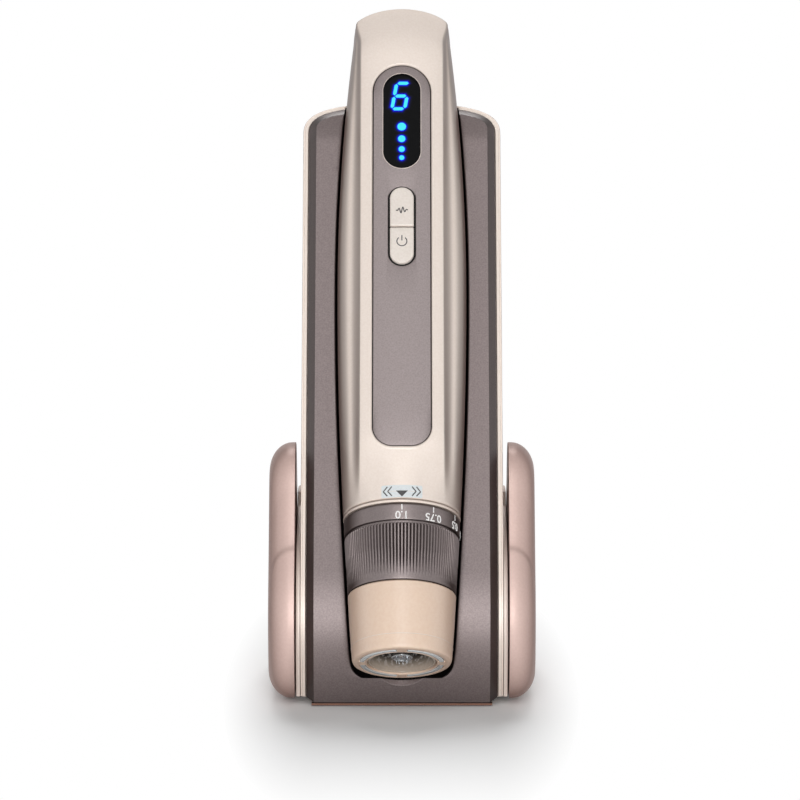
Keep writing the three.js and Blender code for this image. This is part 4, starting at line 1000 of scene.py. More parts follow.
def lettering(words):
    """Points and faces of thin flat digits round their middle, in millimetres."""
    curve = bpy.data.curves.new("digits", "FONT")
    curve.body = words
    curve.size = DIGIT_SIZE
    curve.align_x = "CENTER"
    curve.align_y = "CENTER"
    curve.extrude = 0.05
    curve.offset = 0.045
    holder = bpy.data.objects.new("digits", curve)
    bpy.context.scene.collection.objects.link(holder)
    mesh = bpy.data.meshes.new_from_object(holder)
    bpy.data.objects.remove(holder)
    points = np.empty(len(mesh.vertices) * 3)
    mesh.vertices.foreach_get("co", points)
    faces = [list(f.vertices) for f in mesh.polygons]
    bpy.data.meshes.remove(mesh)
    return points.reshape(-1, 3), faces


class PEN_OT_dial(Operator):
    """Depth dial: plain skirt, fine flutes, groove and the numbered scale."""

    bl_idname = "pen.dial"
    bl_label = "Depth dial"

    def execute(self, context):
        depth = context.scene.pen_sizes.flute_depth
        s = np.array([
            17.5, 17.5, 17.56, 17.7, 18.2, 18.8, 19.4, 20.0, 20.6, 21.4, 22.2, 24, 26, 28, 30, 31.0, 31.5,
            31.75, 31.9, 31.95, 31.95, 32.05, 32.6, 32.65, 32.68, 32.75, 32.9, 33.2, 34.2, 35.2, 36.2, 36.5,
            36.7, 36.8, 36.8,
        ])
        # A cone up to the groove, then the scale's cone, with the ends and the groove drawn in
        r = 13.42 + (s - 17.5) * 0.0605
        r[:3] -= [0.6, 0.14, 0.05]
        r[17:20] -= [0.03, 0.1, 0.25]
        r[20:23] = 13.72
        r[23:] = SCALE_LOW_R + (s[23:] - 32.6) / 4.2 * 0.15
        r[23:27] -= [0.5, 0.16, 0.06, 0.01]
        r[-4:] -= [0.03, 0.14, 0.3, 2.5]
        # Flutes fade in above the skirt and end under the groove
        share = np.clip((s - 18.6) / 4.5, 0, 1) * np.clip((32.0 - s) / 0.25, 0, 1)
        t = np.linspace(0, 2 * np.pi, FLUTES * FLUTE_POINTS, endpoint=False)[None, :]
        groove = np.clip(1.25 * share[:, None] - 1.6 * np.abs(np.cos(t * FLUTES / 2)), 0, 1)
        outside = around(r[:, None] - depth * groove, t, s[:, None])
        bore = np.array([(11.95, 36.6), (11.95, 22.3), (12.8, 21.4), (12.8, 17.7)])
        dial = skin(np.concatenate([outside, around(bore[:, :1], t, bore[:, 1:])]), "join")
        make("dial", dial, finish(dark_anodised), "dial", ("depth_dial",), sharp=50)
        white = ink("scale_white", "F4F2F0")
        ticks = []
        numbers = []
        for i, words in enumerate(SCALE):
            turn = i * math.radians(SCALE_STEP)
            a = turn + np.array([-0.01, 0.01, 0.01, -0.01])
            tick_s = np.array([36.5, 36.5, 35.1, 35.1])
            ticks.append(skin(np.stack([around(SCALE_R + d, a, tick_s) for d in (-0.1, 0.04)])))
            # Read from the nose end: up in the text points to the nose
            points, faces = lettering(words)
            points = around(SCALE_R + points[:, 2], turn - points[:, 0] / SCALE_R, DIGIT_AT - points[:, 1])
            numbers.append((points, faces))
        make("dial_ticks", together(*ticks), white, "dial")
        make("dial_numbers", together(*numbers), white, "dial")
        collar = [(11.95, 37.1), (14.5, 37.1), (14.62, 37.25), (14.62, 37.65), (14.5, 37.8), (11.95, 37.8)]
        collar = revolved(filleted(collar, 0.08))
        make("collar", collar, finish(rim_lacquer), "pen", ("collar_ring",))
        return {"FINISHED"}


class PEN_OT_nose(Operator):
    """Needle cartridge: beige cup, four electrodes, clear bowl, steel hub and needles."""

    bl_idname = "pen.nose"
    bl_label = "Needle cartridge"

    def execute(self, context):
        beige = finish(moulded_beige)
        cup = revolved(filleted([
            (8.65, 0.0), (9.05, 0.0), (9.05, 0.75), (10.75, 0.75), (10.75, 0.0), (11.45, 0.0), (12.1, 0.25),
            (12.35, 0.95), (12.65, 5.0), (13.0, 10.0), (13.4, 17.0), (13.3, 17.2), (12.45, 17.2),
            (12.45, 21.2), (11.9, 21.2), (11.9, 17.2), (11.6, 10.0), (10.6, 9.0), (1.85, 9.0), (1.85, 7.6),
            (8.65, 7.6),
        ], 0.22))
        make("cup", cup, beige, "cartridge", ("cartridge_cup",), sharp=50)
        seam = revolved(filleted([(12.55, 3.72), (12.62, 3.72), (12.62, 3.86), (12.55, 3.86)], 0.01))
        make("cup_seam", seam, finish(base_lacquer), "cartridge")
        for i in range(ELECTRODES):
            middle = math.radians(45 + 90 * i)
            half = math.radians(45) - 1.35 / ELECTRODE_MID_R
            a = np.linspace(middle - half, middle + half, 40)[:, None]
            r = np.array([[9.3, 9.3, 9.45, 10.35, 10.5, 10.5]])
            s = np.array([[0.7, 0.12, -0.05, -0.05, 0.12, 0.7]])
            arc = skin(on_pen(r * np.cos(a), r * np.sin(a), s))
            make(f"electrode_arc_{i + 1}", arc, finish(electrode_plate), "cartridge",
                 (f"electrode_{i + 1}",))
            # A rib of the cup stands between this plate and the one before it
            rib_a = math.radians(90 * i)
            d = np.array([math.cos(rib_a), math.sin(rib_a)])
            n = np.array([-d[1], d[0]])
            corners = [r * d + w * n for r, w in ((9.0, 1.2), (9.0, -1.2), (10.8, -1.2), (10.8, 1.2))]
            x, h = np.array(corners).T
            rib = skin(np.stack([on_pen(x, h, 0.9), on_pen(x, h, 0.0)]))
            make(f"electrode_rib_{i + 1}", rib, beige, "cartridge")
        bowl = revolved(filleted([
            (7.85, 0.35), (8.35, 0.35), (8.35, 7.3), (1.85, 7.3), (1.85, 4.3), (2.9, 4.3), (2.9, 5.9),
            (7.6, 5.9), (7.85, 5.6),
        ], 0.12))
        make("bowl", bowl, finish(clear_moulding), "cartridge", ("cartridge_bowl",))
        hub = filleted([
            (0.02, 1.55), (2.0, 1.55), (2.1, 1.3), (2.6, 1.3), (2.75, 1.42), (2.75, 2.5), (1.4, 2.9),
            (1.4, 39.8), (4.2, 39.8), (4.2, 41.1), (0.02, 41.1),
        ], 0.08)
        parts = [revolved(hub, 64)]
        a = np.linspace(0, 2 * np.pi, 10, endpoint=False)[None, :]
        r = np.array([[0.16], [0.15], [0.02]])
        s = np.array([[1.7], [0.6], [0.15]])
        for i in range(NEEDLES):
            t = i / NEEDLES * 2 * np.pi
            x = NEEDLE_RING_R * np.cos(t) + r * np.cos(a)
            h = NEEDLE_RING_R * np.sin(t) + r * np.sin(a)
            parts.append(skin(on_pen(x, h, s), "fan", "fan"))
        make("needle_hub", together(*parts), finish(brushed_steel), "needles", ("needle_bar",))
        return {"FINISHED"}


# Dock


def slab_bottom(bottom, depth):
    """Length along the slab, from the chin's start, at which it reaches a height at a depth."""
    return -CHIN_RADIUS * (LEAN + math.asin((CHIN_HEIGHT - bottom) / (CHIN_RADIUS - depth)))


def slab_outline(half, top, depth, bottom):
    """Right-hand outline of the slab as (x, u): straight from the bottom height up to the top
    round, then a superellipse corner to the middle."""
    u = [np.linspace(slab_bottom(bottom, depth), 0, 35), np.linspace(0, CROWN_START, 35)[1:]]
    u = np.concatenate(u)
    x = np.full(len(u), half)
    t = np.linspace(0, np.pi / 2, 150)[1:]
    p = 2 / CORNER_POWER
    x = np.concatenate([x, half * np.maximum(np.cos(t), 0.0005) ** p])
    u = np.concatenate([u, CROWN_START + (top - CROWN_START) * np.sin(t) ** p])
    return x, u


def seat_depth(x, u):
    """Depth of the trough below the slab's face at a place on it, from the superellipse
    |x/r|^p + |h/d|^p = 1 of the pen's outline; below zero outside the trough."""
    s = u + NOSE_BELOW
    r = seat_half(s) + TROUGH_CLEAR
    d = seat_rear(s) + TROUGH_CLEAR
    return d * np.clip(1 - np.abs(x / r) ** REAR_POWER, 0, 1) ** (1 / REAR_POWER) - AXIS_PROUD


def slab_layers(layers):
    """Closed outlines of (inset, depth, bottom height). Where the trough passes through the top,
    the layers are pressed together below it: depth -> seat + (depth - rim)(floor - seat)/(floor - rim)."""
    rows = []
    deepest = SLAB_DEPTH - 2.5
    for inset, depth, bottom in layers:
        x, u = slab_outline(SLAB_HALF - inset, SLAB_TOP - inset, depth, bottom)
        seat = np.where(u > CROWN_START, np.maximum(seat_depth(x, u), RIM_SETBACK), RIM_SETBACK)
        share = np.clip((deepest - depth) / (deepest - RIM_SETBACK), 0, 1)
        pressed = depth + (seat - RIM_SETBACK) * share
        row = on_slab(x, u, pressed)
        rows.append(np.concatenate([row, row[::-1] * [-1.0, 1.0, 1.0]]))
    return np.stack(rows)


def seat_half(s):
    """Radius or half width of the pen outline that the trough follows: straight tapers up the
    nose and the dial, then the body's curve."""
    cup = CUP_END_R + (CUP_TOP_R - CUP_END_R) * np.clip(s, 0, None) / CUP_LENGTH
    dial = CUP_TOP_R + (COLLAR_R - CUP_TOP_R) * (s - CUP_LENGTH) / (BODY_START - CUP_LENGTH)
    nose = np.where(s < CUP_LENGTH, cup, dial)
    return np.where(s < BODY_START, nose, belly(s, COLLAR_R, BELLY_HALF, TAIL_HALF))


def seat_rear(s):
    """Depth of the pen outline behind its axis."""
    return np.where(s < BODY_START, seat_half(s), belly(s, COLLAR_R, BELLY_REAR, TAIL_REAR))


def inset_of(x, u):
    """How far inside the panel's outline a place lies: on the straight sides half - x, and in the
    crown the inset i that solves (x/(half-i))^n + ((u-start)/(top-i-start))^n = 1, by bisection."""
    half, top, start = SLAB_HALF - RIM_WIDTH, SLAB_TOP - RIM_WIDTH, CROWN_START
    low, high = np.zeros(np.broadcast(x, u).shape), np.full(np.broadcast(x, u).shape, 5.0)
    for _ in range(24):
        mid = (low + high) / 2
        level = (x / (half - mid)) ** CORNER_POWER
        level = level + (np.maximum(u - start, 0) / (top - mid - start)) ** CORNER_POWER
        low = np.where(level < 1, mid, low)
        high = np.where(level < 1, high, mid)
    return low


def crown_half(u, inset):
    """Half width of the panel's outline, drawn in by an inset, at a height along the slab."""
    rise = np.clip((u - CROWN_START) / (SLAB_TOP - RIM_WIDTH - inset - CROWN_START), 0, 1)
    return (SLAB_HALF - RIM_WIDTH - inset) * (1 - rise**CORNER_POWER) ** (1 / CORNER_POWER)


class DOCK_OT_panel(Operator):
    """Front panel: bevelled taupe face, rounded chin, and the trough that the pen lies in."""

    bl_idname = "dock.panel"
    bl_label = "Dock panel"

    def execute(self, context):
        # Rows along the face are close together at the nose end and in the crown. Two rows stand
        # at the trough's end wall, the first on the face and the second down in the trough.
        wall_u = -NOSE_BELOW - TROUGH_END
        crown = SLAB_TOP - RIM_WIDTH - (1 - np.linspace(0, 1, 60)) ** 2 * (TOP_ROUND - RIM_WIDTH)
        u = np.concatenate([
            np.linspace(slab_bottom(PANEL_BOTTOM, 0), wall_u - 3, 90),
            wall_u + np.linspace(-2.95, 4, 110),
            np.linspace(wall_u + 4.2, 0, 60),
            np.linspace(0, CROWN_START, 130)[1:-1],
            crown,
        ])
        face = on_slab(0.0, u, 0.0)
        s = (face[:, 1] - NOSE[1]) * AXIS[1] + (face[:, 2] - NOSE[2]) * AXIS[2]
        h = (face[:, 1] - NOSE[1]) * FRONT[1] + (face[:, 2] - NOSE[2]) * FRONT[2]
        wall = int(np.searchsorted(s, -TROUGH_END))
        u, s, h = (np.insert(v, wall, np.full(2, np.interp(-TROUGH_END, s, v))) for v in (u, s, h))
        # The top rolls back: level, a short bend, then an even slope up to the rim
        climb = np.clip((u - SLAB_TOP + ROLL_LENGTH) / ROLL_LENGTH, 0, 1)
        roll = ROLL_DEPTH * (np.hypot(climb, ROLL_BEND) - ROLL_BEND)
        h = h - roll
        deep = np.arange(len(u)) > wall
        corner = np.clip(1 - (s + TROUGH_END) / TROUGH_CORNER, 0, 1)
        r = seat_half(s) + TROUGH_CLEAR - TROUGH_CORNER * (1 - np.sqrt(1 - corner**2))
        d = seat_rear(s) + TROUGH_CLEAR
        along = np.clip((s - CUP_LENGTH) / (BODY_START - CUP_LENGTH), 0, 1)
        power = TROUGH_POWER + (REAR_POWER - TROUGH_POWER) * along
        sink = np.clip(-h / d, 0, 1)
        mouth = r * (1 - sink**power) ** (1 / power)
        edge = crown_half(u, 0)
        stay = edge > mouth + 0.15
        columns = (u, s, h, r, d, power, sink, mouth, edge, deep, roll)
        u, s, h, r, d, power, sink, mouth, edge, deep, roll = (v[stay][:, None] for v in columns)
        flat = np.maximum(crown_half(u, PANEL_BEVEL), mouth + 0.1 * (edge - mouth))
        # Trough section from its middle out to the mouth, by an angle that ends at the mouth
        inside = np.linspace(0, 1, TROUGH_COLUMNS)[None, :]
        a = np.pi / 2 + (np.arcsin(sink ** (power / 2)) - np.pi / 2) * inside
        trough_x = r * np.maximum(np.cos(a), 0) ** (2 / power)
        trough_h = np.minimum(-d * np.sin(a) ** (2 / power), h)
        x = np.where(deep, trough_x, mouth * inside)
        drop = np.where(deep, h - trough_h, 0)
        # Face from the mouth, with a small rounded lip, to the bevel and over it to the side
        q = np.array([[0.004, 0.01, 0.02, 0.06, 0.2, 0.5, 0.8, 1.0]])
        x = np.hstack([x, mouth + (flat - mouth) * q, flat + (edge - flat) * np.linspace(0, 1, 9)[None, 1:]])
        lip = np.where(deep, LIP_ROUND * (1 - np.minimum(1, q / 0.05)) ** 2, 0)
        drop = np.hstack([drop, lip, np.zeros((len(u), 8))])
        bevel = np.clip(1 - inset_of(x, u) / PANEL_BEVEL, 0, 1)
        level = BEVEL_DEPTH * bevel + roll * (1 - bevel)
        level = np.where(np.arange(x.shape[1])[None, :] < TROUGH_COLUMNS, roll, level)
        # Finger notch: a round-bottomed scoop through the lip below the pen's nose
        scoop = NOTCH_H - np.sqrt(np.maximum(NOTCH_RADIUS**2 - x**2, 0))
        cut = ~deep & (np.abs(x) < NOTCH_RADIUS) & (h > scoop)
        drop = np.where(cut, h - scoop, drop)
        front = on_slab(x, u, level) - drop[..., None] * FRONT
        # Side wall, back edge and the hidden block that carries the trough
        back = edge - 0.6
        block = np.minimum(back, r + 1.6)
        bottom = np.where(s > -TROUGH_END - 1.5, BLOCK_DEPTH, RIM_SETBACK - 0.2)
        side = [on_slab(edge, u, RIM_SETBACK - 0.4), on_slab(back, u, RIM_SETBACK - 0.3)]
        side += [on_slab(block, u, RIM_SETBACK - 0.2), on_slab(block * 0.99, u, bottom)]
        right = np.concatenate([front] + side, axis=1)
        left = right[:, :0:-1] * np.array([-1.0, 1.0, 1.0])
        panel = make("dock_panel", skin(np.concatenate([left, right], axis=1), "face", "ladder"),
                     finish(panel_paint), "dock", ("dock_front_panel",), sharp=28)
        # Marks the trough for its painted matt black shade, from its end wall up and just below its lip
        reach = np.arange(right.shape[1])[None, :] < TROUGH_COLUMNS - 1
        first = np.argmax(deep[:, 0]) - 1
        trough_shade = (reach & (np.arange(len(u)) >= first)[:, None]).astype(float)
        marks = np.concatenate([trough_shade[:, :0:-1], trough_shade], axis=1)
        layer = panel.data.attributes.new("trough_shade", "FLOAT", "POINT")
        layer.data.foreach_set("value", marks.ravel())
        return {"FINISHED"}


class DOCK_OT_shell(Operator):
    """Back shell: an open tray whose front edge is the cream rim, with a fine step along it."""

    bl_idname = "dock.shell"
    bl_label = "Dock shell"

    def execute(self, context):
        rim = RIM_SETBACK
        line = context.scene.dock_sizes.rim_line
        low = SLAB_BOTTOM
        layers = [
            (SHELL_INNER, TRAY_FLOOR, low + 1.5),
            (SHELL_INNER, rim + 1.4, low + 1.5),
            (SHELL_INNER - 0.2, rim + 1.2, low + 1.5),
            (RIM_WIDTH - 0.1, rim + 1.1, low + 0.3),
            (RIM_WIDTH - 0.2, rim + 0.1, low + 0.1),
            (RIM_WIDTH - 0.3, rim, low),
            (0.52, rim, low),
            (0.46, rim + line, low),
            (0.12, rim + line, low),
            (0.03, rim + line + 0.1, low),
            (0.0, rim + line + 0.25, low),
            (0.0, SLAB_DEPTH - 4.0, low),
            (0.3, SLAB_DEPTH - 2.5, low),
            (1.1, SLAB_DEPTH - 1.1, low),
            (2.4, SLAB_DEPTH - 0.3, low),
            (4.0, SLAB_DEPTH, low),
        ]
        make("dock_shell", skin(slab_layers(layers), "ladder", "ladder"), finish(rim_lacquer),
             "dock", ("dock_back_shell",), sharp=40)
        return {"FINISHED"}


def bezier(p0, p1, p2, p3, count):
    """Cubic curve between two points, without its last point."""
    t = np.linspace(0, 1, count, endpoint=False)[:, None]
    p0, p1, p2, p3 = (np.asarray(p, float) for p in (p0, p1, p2, p3))
    return (1 - t) ** 3 * p0 + 3 * t * (1 - t) ** 2 * p1 + 3 * t * t * (1 - t) * p2 + t**3 * p3


def rim_at(z, depth):
    """Y of the slab's surface at a height and a depth behind its face, before the row shift."""
    up = (z - TANGENT_Z + depth * math.sin(LEAN)) / math.cos(LEAN)
    if up >= 0:
        return TANGENT_Y + up * math.sin(LEAN) + depth * math.cos(LEAN)
    r = CHIN_RADIUS - depth
    return CHIN_RADIUS - math.sqrt(max(0.0, r * r - (z - CHIN_HEIGHT) ** 2))


def drawn_in(outline, inset):
    """A closed outline moved inwards along the mean normal of its two sides at each point."""
    before = np.roll(outline, 1, axis=0)
    after = np.roll(outline, -1, axis=0)
    e0 = outline - before
    e1 = after - outline
    e0 /= np.maximum(np.linalg.norm(e0, axis=1), 1e-9)[:, None]
    e1 /= np.maximum(np.linalg.norm(e1, axis=1), 1e-9)[:, None]
    n = np.stack([-(e0 + e1)[:, 1], (e0 + e1)[:, 0]], axis=-1)
    n /= np.maximum(np.linalg.norm(n, axis=1), 1e-9)[:, None]
    reach = np.maximum(0.5, np.abs(n[:, 0] * -e0[:, 1] + n[:, 1] * e0[:, 0]))
    return outline + n * (inset / reach)[:, None]


def rear_face(z):
    """Y of the base's sloping rear face at a height, before the row shift."""
    run = BASE_BACK - 2 - BASE_BACK_TOP - SHOULDER_RUN
    run /= BASE_TOP - BASE_BOTTOM - 2 * SHOULDER_DROP
    return BASE_BACK_TOP + SHOULDER_RUN + (BASE_TOP - SHOULDER_DROP - z) * run


def port_edge(x):
    """Four points of the rear outline at x: round the port's pocket, or on the face beside it."""
    past = max(0.0, abs(x) - (PORT_WIDE - PORT_HIGH) / 2)
    half = math.sqrt(max(0.0004, (PORT_HIGH / 2) ** 2 - past**2))
    if abs(x) > PORT_WIDE / 2 + 0.01:
        z = PORT_Z + np.array([0.3, 0.1, -0.1, -0.3])
        return np.stack([rear_face(z), z], axis=-1)
    z = PORT_Z + half * np.array([1, 1, -1, -1])
    y = np.array([rear_face(z[0]), PORT_FLOOR, PORT_FLOOR, rear_face(z[3])])
    return np.stack([y, z], axis=-1)


def side_sign(outline):
    """Plus one for an outline that runs anticlockwise, else minus one."""
    area = np.sum(outline[:, 0] * np.roll(outline[:, 1], -1) - np.roll(outline[:, 0], -1) * outline[:, 1])
    return 1.0 if area > 0 else -1.0


def side_ring(x, outline):
    """A side outline of (y, z) as points at one x, moved to the row's place."""
    return np.stack([np.full(len(outline), x), outline[:, 0] + SHIFT, outline[:, 1]], axis=-1)


def lobe_top(x):
    """Height of the lobe's upper edge: a quarter circle from the inner face down to the outer."""
    span = CHEEK_THICK - 1.0
    across = np.clip((np.abs(x) - CHEEK_INNER) / span, 0, 1)
    return LOBE_TOP - span * 1.1 * (1 - np.sqrt(1 - across**2))


class DOCK_OT_cheeks(Operator):
    """Rose side cheeks: a flat inner face, a pillow-rounded outer one, and a fuller lobe below."""

    bl_idname = "dock.cheeks"
    bl_label = "Dock cheeks"

    def execute(self, context):
        pillow = context.scene.dock_sizes.cheek_pillow
        slope = math.tan(LEAN)
        front, rear, low, top = CHEEK_FRONT, CHEEK_REAR, CHEEK_BOTTOM, CHEEK_TOP
        shoulder = rim_at(CHEEK_SHOULDER, RIM_SETBACK) - CHEEK_AHEAD
        brow = top - CHEEK_TOP_ROUND * 0.75
        brow_y = shoulder + (brow - CHEEK_SHOULDER) * slope
        crest = shoulder + (top - CHEEK_SHOULDER) * slope + CHEEK_TOP_ROUND * 0.8
        parts = [
            bezier((front + 12, low), (front + 4.5, low + 0.1), (front, LOBE_Z - 10), (front, LOBE_Z), 24),
            bezier((front, LOBE_Z), (front, LOBE_Z + 9), (shoulder - 4, CHEEK_SHOULDER - 7),
                   (shoulder, CHEEK_SHOULDER), 40),
            bezier((shoulder, CHEEK_SHOULDER), (shoulder + 4 * slope, CHEEK_SHOULDER + 4),
                   (brow_y - 4 * slope, brow - 4), (brow_y, brow), 24),
            bezier((brow_y, brow), (brow_y + 6 * slope, brow + 6), (crest - 6, top), (crest, top), 20),
            bezier((crest, top), (crest + 8, top), (crest + 12, top - 3), (crest + 16, top - 10), 20),
            bezier((crest + 16, top - 10), (crest + 18, top - 14), (rear - 5, 19), (rear - 3, 15.1), 12),
            bezier((rear - 3, 15.1), (rear + 0.1, 8.6), (rear - 3.5, low), (rear - 12, low), 20),
            bezier((rear - 12, low), (rear - 22, low), (front + 20, low), (front + 12, low), 24),
        ]
        outline = np.vstack(parts)
        inward = side_sign(outline)
        a = np.linspace(0, np.pi / 2, 26)
        x = np.concatenate([
            CHEEK_INNER + np.array([0.0, 0.03, 0.12, 0.2, 0.4]),
            CHEEK_INNER + 0.8 + (CHEEK_THICK - 0.8) * np.sin(a),
        ])
        inset = np.concatenate([[0.12, 0.03, 0.0, 0.0, 0.0], pillow * (1 - np.cos(a))])
        rings = np.stack([drawn_in(outline, inward * v) for v in inset])
        # The lobe stands a little proud of the upper part, in front only, with a soft edge
        ahead = np.clip((crest - 8 - rings[..., 0]) / 6, 0, 1)
        below = smooth_step(lobe_top(x)[:, None] - rings[..., 1], -0.5, 0.5)
        faded = np.clip(1.6 - 1.6 * inset / pillow, 0, 1)[:, None]
        rings[..., 0] += LOBE_STEP * (1 - below) * ahead * faded
        for side, name in ((-1, "left"), (1, "right")):
            grid = np.stack([side_ring(side * at, ring) for at, ring in zip(x, rings)])
            make(f"cheek_{name}", skin(grid, "fan", "fan"), finish(rose_satin), "dock",
                 (f"dock_cheek_{name}",), sharp=40)
        return {"FINISHED"}


class DOCK_OT_base(Operator):
    """Champagne base block behind the slab, with thin side skins that flare to the rim."""

    bl_idname = "dock.base"
    bl_label = "Dock base"

    def execute(self, context):
        top, low, back_top, back = BASE_TOP, BASE_BOTTOM, BASE_BACK_TOP, BASE_BACK
        heights = np.linspace(low, FLARE_LOW, 20)
        rim = np.array([[rim_at(z, RIM_SETBACK), z] for z in heights])
        t = np.linspace(0, 1, 24)[1:, None]
        p1 = np.array([rim[-1, 0] + 1, FLARE_HIGH - 8])
        p2 = np.array([rim_at(FLARE_HIGH, SLAB_DEPTH), FLARE_HIGH])
        flare = (1 - t) ** 2 * rim[-1] + 2 * t * (1 - t) * p1 + t**2 * p2
        shoulder = bezier((back_top - 3, top), (back_top + 1.5, top), (back_top + 3.4, top - 2.5),
                          (back_top + SHOULDER_RUN, top - SHOULDER_DROP), 12)
        heel = bezier((rear_face(low + 5), low + 5), (back - 0.8, low + 3.6), (back - 0.2, low + 2),
                      (back - 0.5, low), 8)
        start, end = [[rim_at(top, SLAB_DEPTH), top]], [[back_top + SHOULDER_RUN, top - SHOULDER_DROP]]
        upper = np.vstack([start, shoulder, end])
        lower = np.vstack([heel, [[back - 0.5, low]]])
        outline = np.vstack([rim, flare, upper, lower])
        parts = []
        for side in (-1, 1):
            rings = []
            for x, inset in ((SLAB_HALF + 0.1, 0.3), (SLAB_HALF + 0.1, 0.0), (BASE_HALF - 0.3, 0.0),
                             (BASE_HALF - 0.1, 0.08), (BASE_HALF, 0.3)):
                rings.append(side_ring(side * x, drawn_in(outline, inset * side_sign(outline))))
            parts.append(skin(np.stack(rings)))
        heights = np.linspace(low, top - 1, 30)
        inner = np.array([[rim_at(z, SLAB_DEPTH + 0.3), z] for z in heights])
        mouth = PORT_WIDE / 2
        turn = np.sin(np.linspace(-np.pi / 2, np.pi / 2, 33))
        right = [(mouth + 0.02, 0.0), (BASE_HALF - 0.7, 0.0), (BASE_HALF - 0.3, 0.05), (BASE_HALF - 0.1, 0.3)]
        left = [(-x, inset) for x, inset in right[::-1]]
        stations = left + [(x, 0.0) for x in mouth * turn] + right
        rings = []
        for x, inset in stations:
            body = np.vstack([inner, upper, port_edge(x), lower])
            rings.append(side_ring(x, drawn_in(body, inset * side_sign(body)) if inset else body))
        parts.append(skin(np.stack(rings)))
        block = together(*parts)
        make("base_block", block, finish(base_lacquer), "dock", ("dock_base_block",))
        return {"FINISHED"}


class DOCK_OT_socket(Operator):
    """Stamped steel shell of the USB-C socket: a stadium tube cut on the base's slope, and its tongue."""

    bl_idname = "dock.socket"
    bl_label = "Charging socket"

    def execute(self, context):
        a = np.linspace(0, 2 * np.pi, 48, endpoint=False)
        rings = []
        for sheet, floor in ((0.0, 0.3), (0.0, None), (SHELL_SHEET, None), (SHELL_SHEET, 0.8)):
            r = SHELL_HIGH / 2 - sheet
            x = r * np.cos(a) + np.sign(np.cos(a)) * (SHELL_WIDE - SHELL_HIGH) / 2
            z = PORT_Z + r * np.sin(a)
            y = rear_face(z) - 0.4 if floor is None else np.full_like(x, PORT_FLOOR + floor)
            rings.append(np.stack([x, y + SHIFT, z], axis=-1))
        shell = skin(np.stack(rings))
        rings = []
        tip = rear_face(PORT_Z)
        for y, thin in ((PORT_FLOOR + 0.7, 0.0), (tip - 1.5, 0.0), (tip - 1.3, 0.12)):
            wide, high = TONGUE_HALF[0] - thin, TONGUE_HALF[1] - thin
            x, z = np.array([(wide, high), (-wide, high), (-wide, -high), (wide, -high)]).T
            rings.append(np.stack([x, np.full(4, y + SHIFT), PORT_Z + z], axis=-1))
        socket = together(shell, skin(np.stack(rings)))
        make("usb_socket", socket, finish(brushed_steel), "dock", ("dock_usb_socket",))
        return {"FINISHED"}


SLOT_FINISHES = {
    "champagne": pearl_lacquer,
    "taupe": flake_paint,
    "dark_taupe": dark_anodised,
    "rose": rose_satin,
    "rim_cream": rim_lacquer,
    "beige": moulded_beige,
    "silver": electrode_plate,
    "steel": brushed_steel,
    "copper": copper_strip,
    "gold": gold_contact,
    "black_glass": window_gloss,
    "button_cream": button_satin,
    "grey_plastic": grey_moulding,
    "board": solder_mask,
    "clear": clear_moulding,
    "rubber": black_rubber,
    "cell_wrap": cell_wrap,
}


class PEN_OT_finishes(Operator):
    """Gives every carried-over solid the finish of its material slot."""

    bl_idname = "pen.finishes"
    bl_label = "Finishes"

    def execute(self, context):
        for part in frame["record"]["subparts"]:
            node = frame["nodes"][part["node"]]
            node.data.materials.clear()
            node.data.materials.append(finish(SLOT_FINISHES[part["material_slot"]]))
        return {"FINISHED"}


def worked_out(tree, operation, *values):
    """Result of one Math node over its values."""
    return add(tree, "ShaderNodeMath", dict(enumerate(values)), operation=operation).outputs[0]


def watched(tree):
    """One for the rays that the camera, a reflection or a clear piece sends out, else zero."""
    path = add(tree, "ShaderNodeLightPath").outputs
    seen = worked_out(tree, "MAXIMUM", path["Is Camera Ray"], path["Is Glossy Ray"])
    return worked_out(tree, "MAXIMUM", seen, path["Is Transmission Ray"])


def white_paper():
    """Seamless white paper: it takes the shadow near the object and glows white further out."""
    material, tree, shader, place = fresh("white_paper")
    shader.inputs["Base Color"].default_value = PAPER
    shader.inputs["Roughness"].default_value = 1.0
    shader.inputs["Specular IOR Level"].default_value = 0.0
    parts = add(tree, "ShaderNodeSeparateXYZ", {"Vector": place}).outputs
    aside = worked_out(tree, "ABSOLUTE", parts["X"])
    aside = worked_out(tree, "MULTIPLY_ADD", aside, *PAPER_ASIDE)
    aside = worked_out(tree, "MAXIMUM", aside, 0.0)
    middle = add(tree, "ShaderNodeCombineXYZ", {"X": aside, "Y": parts["Y"]}).outputs["Vector"]
    far = add(tree, "ShaderNodeVectorMath", {0: middle}, operation="LENGTH").outputs["Value"]
    glow = add(tree, "ShaderNodeEmission", {"Color": WHITE, "Strength": 1.0}).outputs["Emission"]
    lift = add(tree, "ShaderNodeEmission", {"Color": WHITE, "Strength": FLOOR_LIFT}).outputs["Emission"]
    near = add(tree, "ShaderNodeAddShader", {0: shader.outputs["BSDF"], 1: lift}).outputs["Shader"]
    seen = {0: ranged(tree, far, *PAPER_FADE), 1: near, 2: glow}
    seen = add(tree, "ShaderNodeMixShader", seen).outputs["Shader"]
    whole = {0: watched(tree), 1: shader.outputs["BSDF"], 2: seen}
    whole = add(tree, "ShaderNodeMixShader", whole).outputs["Shader"]
    tree.links.new(whole, tree.nodes["Material Output"].inputs["Surface"])
    return material


def lamp(name, place, aim, size, watts):
    """A rectangular soft box that faces a point."""
    data = bpy.data.lights.new(name, "AREA")
    data.shape = "RECTANGLE"
    data.size, data.size_y = size
    data.energy = watts
    box = bpy.data.objects.new(name, data)
    box.rotation_euler = (Vector(aim) - Vector(place)).to_track_quat("-Z", "Y").to_euler()
    box.location = place
    bpy.context.scene.collection.objects.link(box)


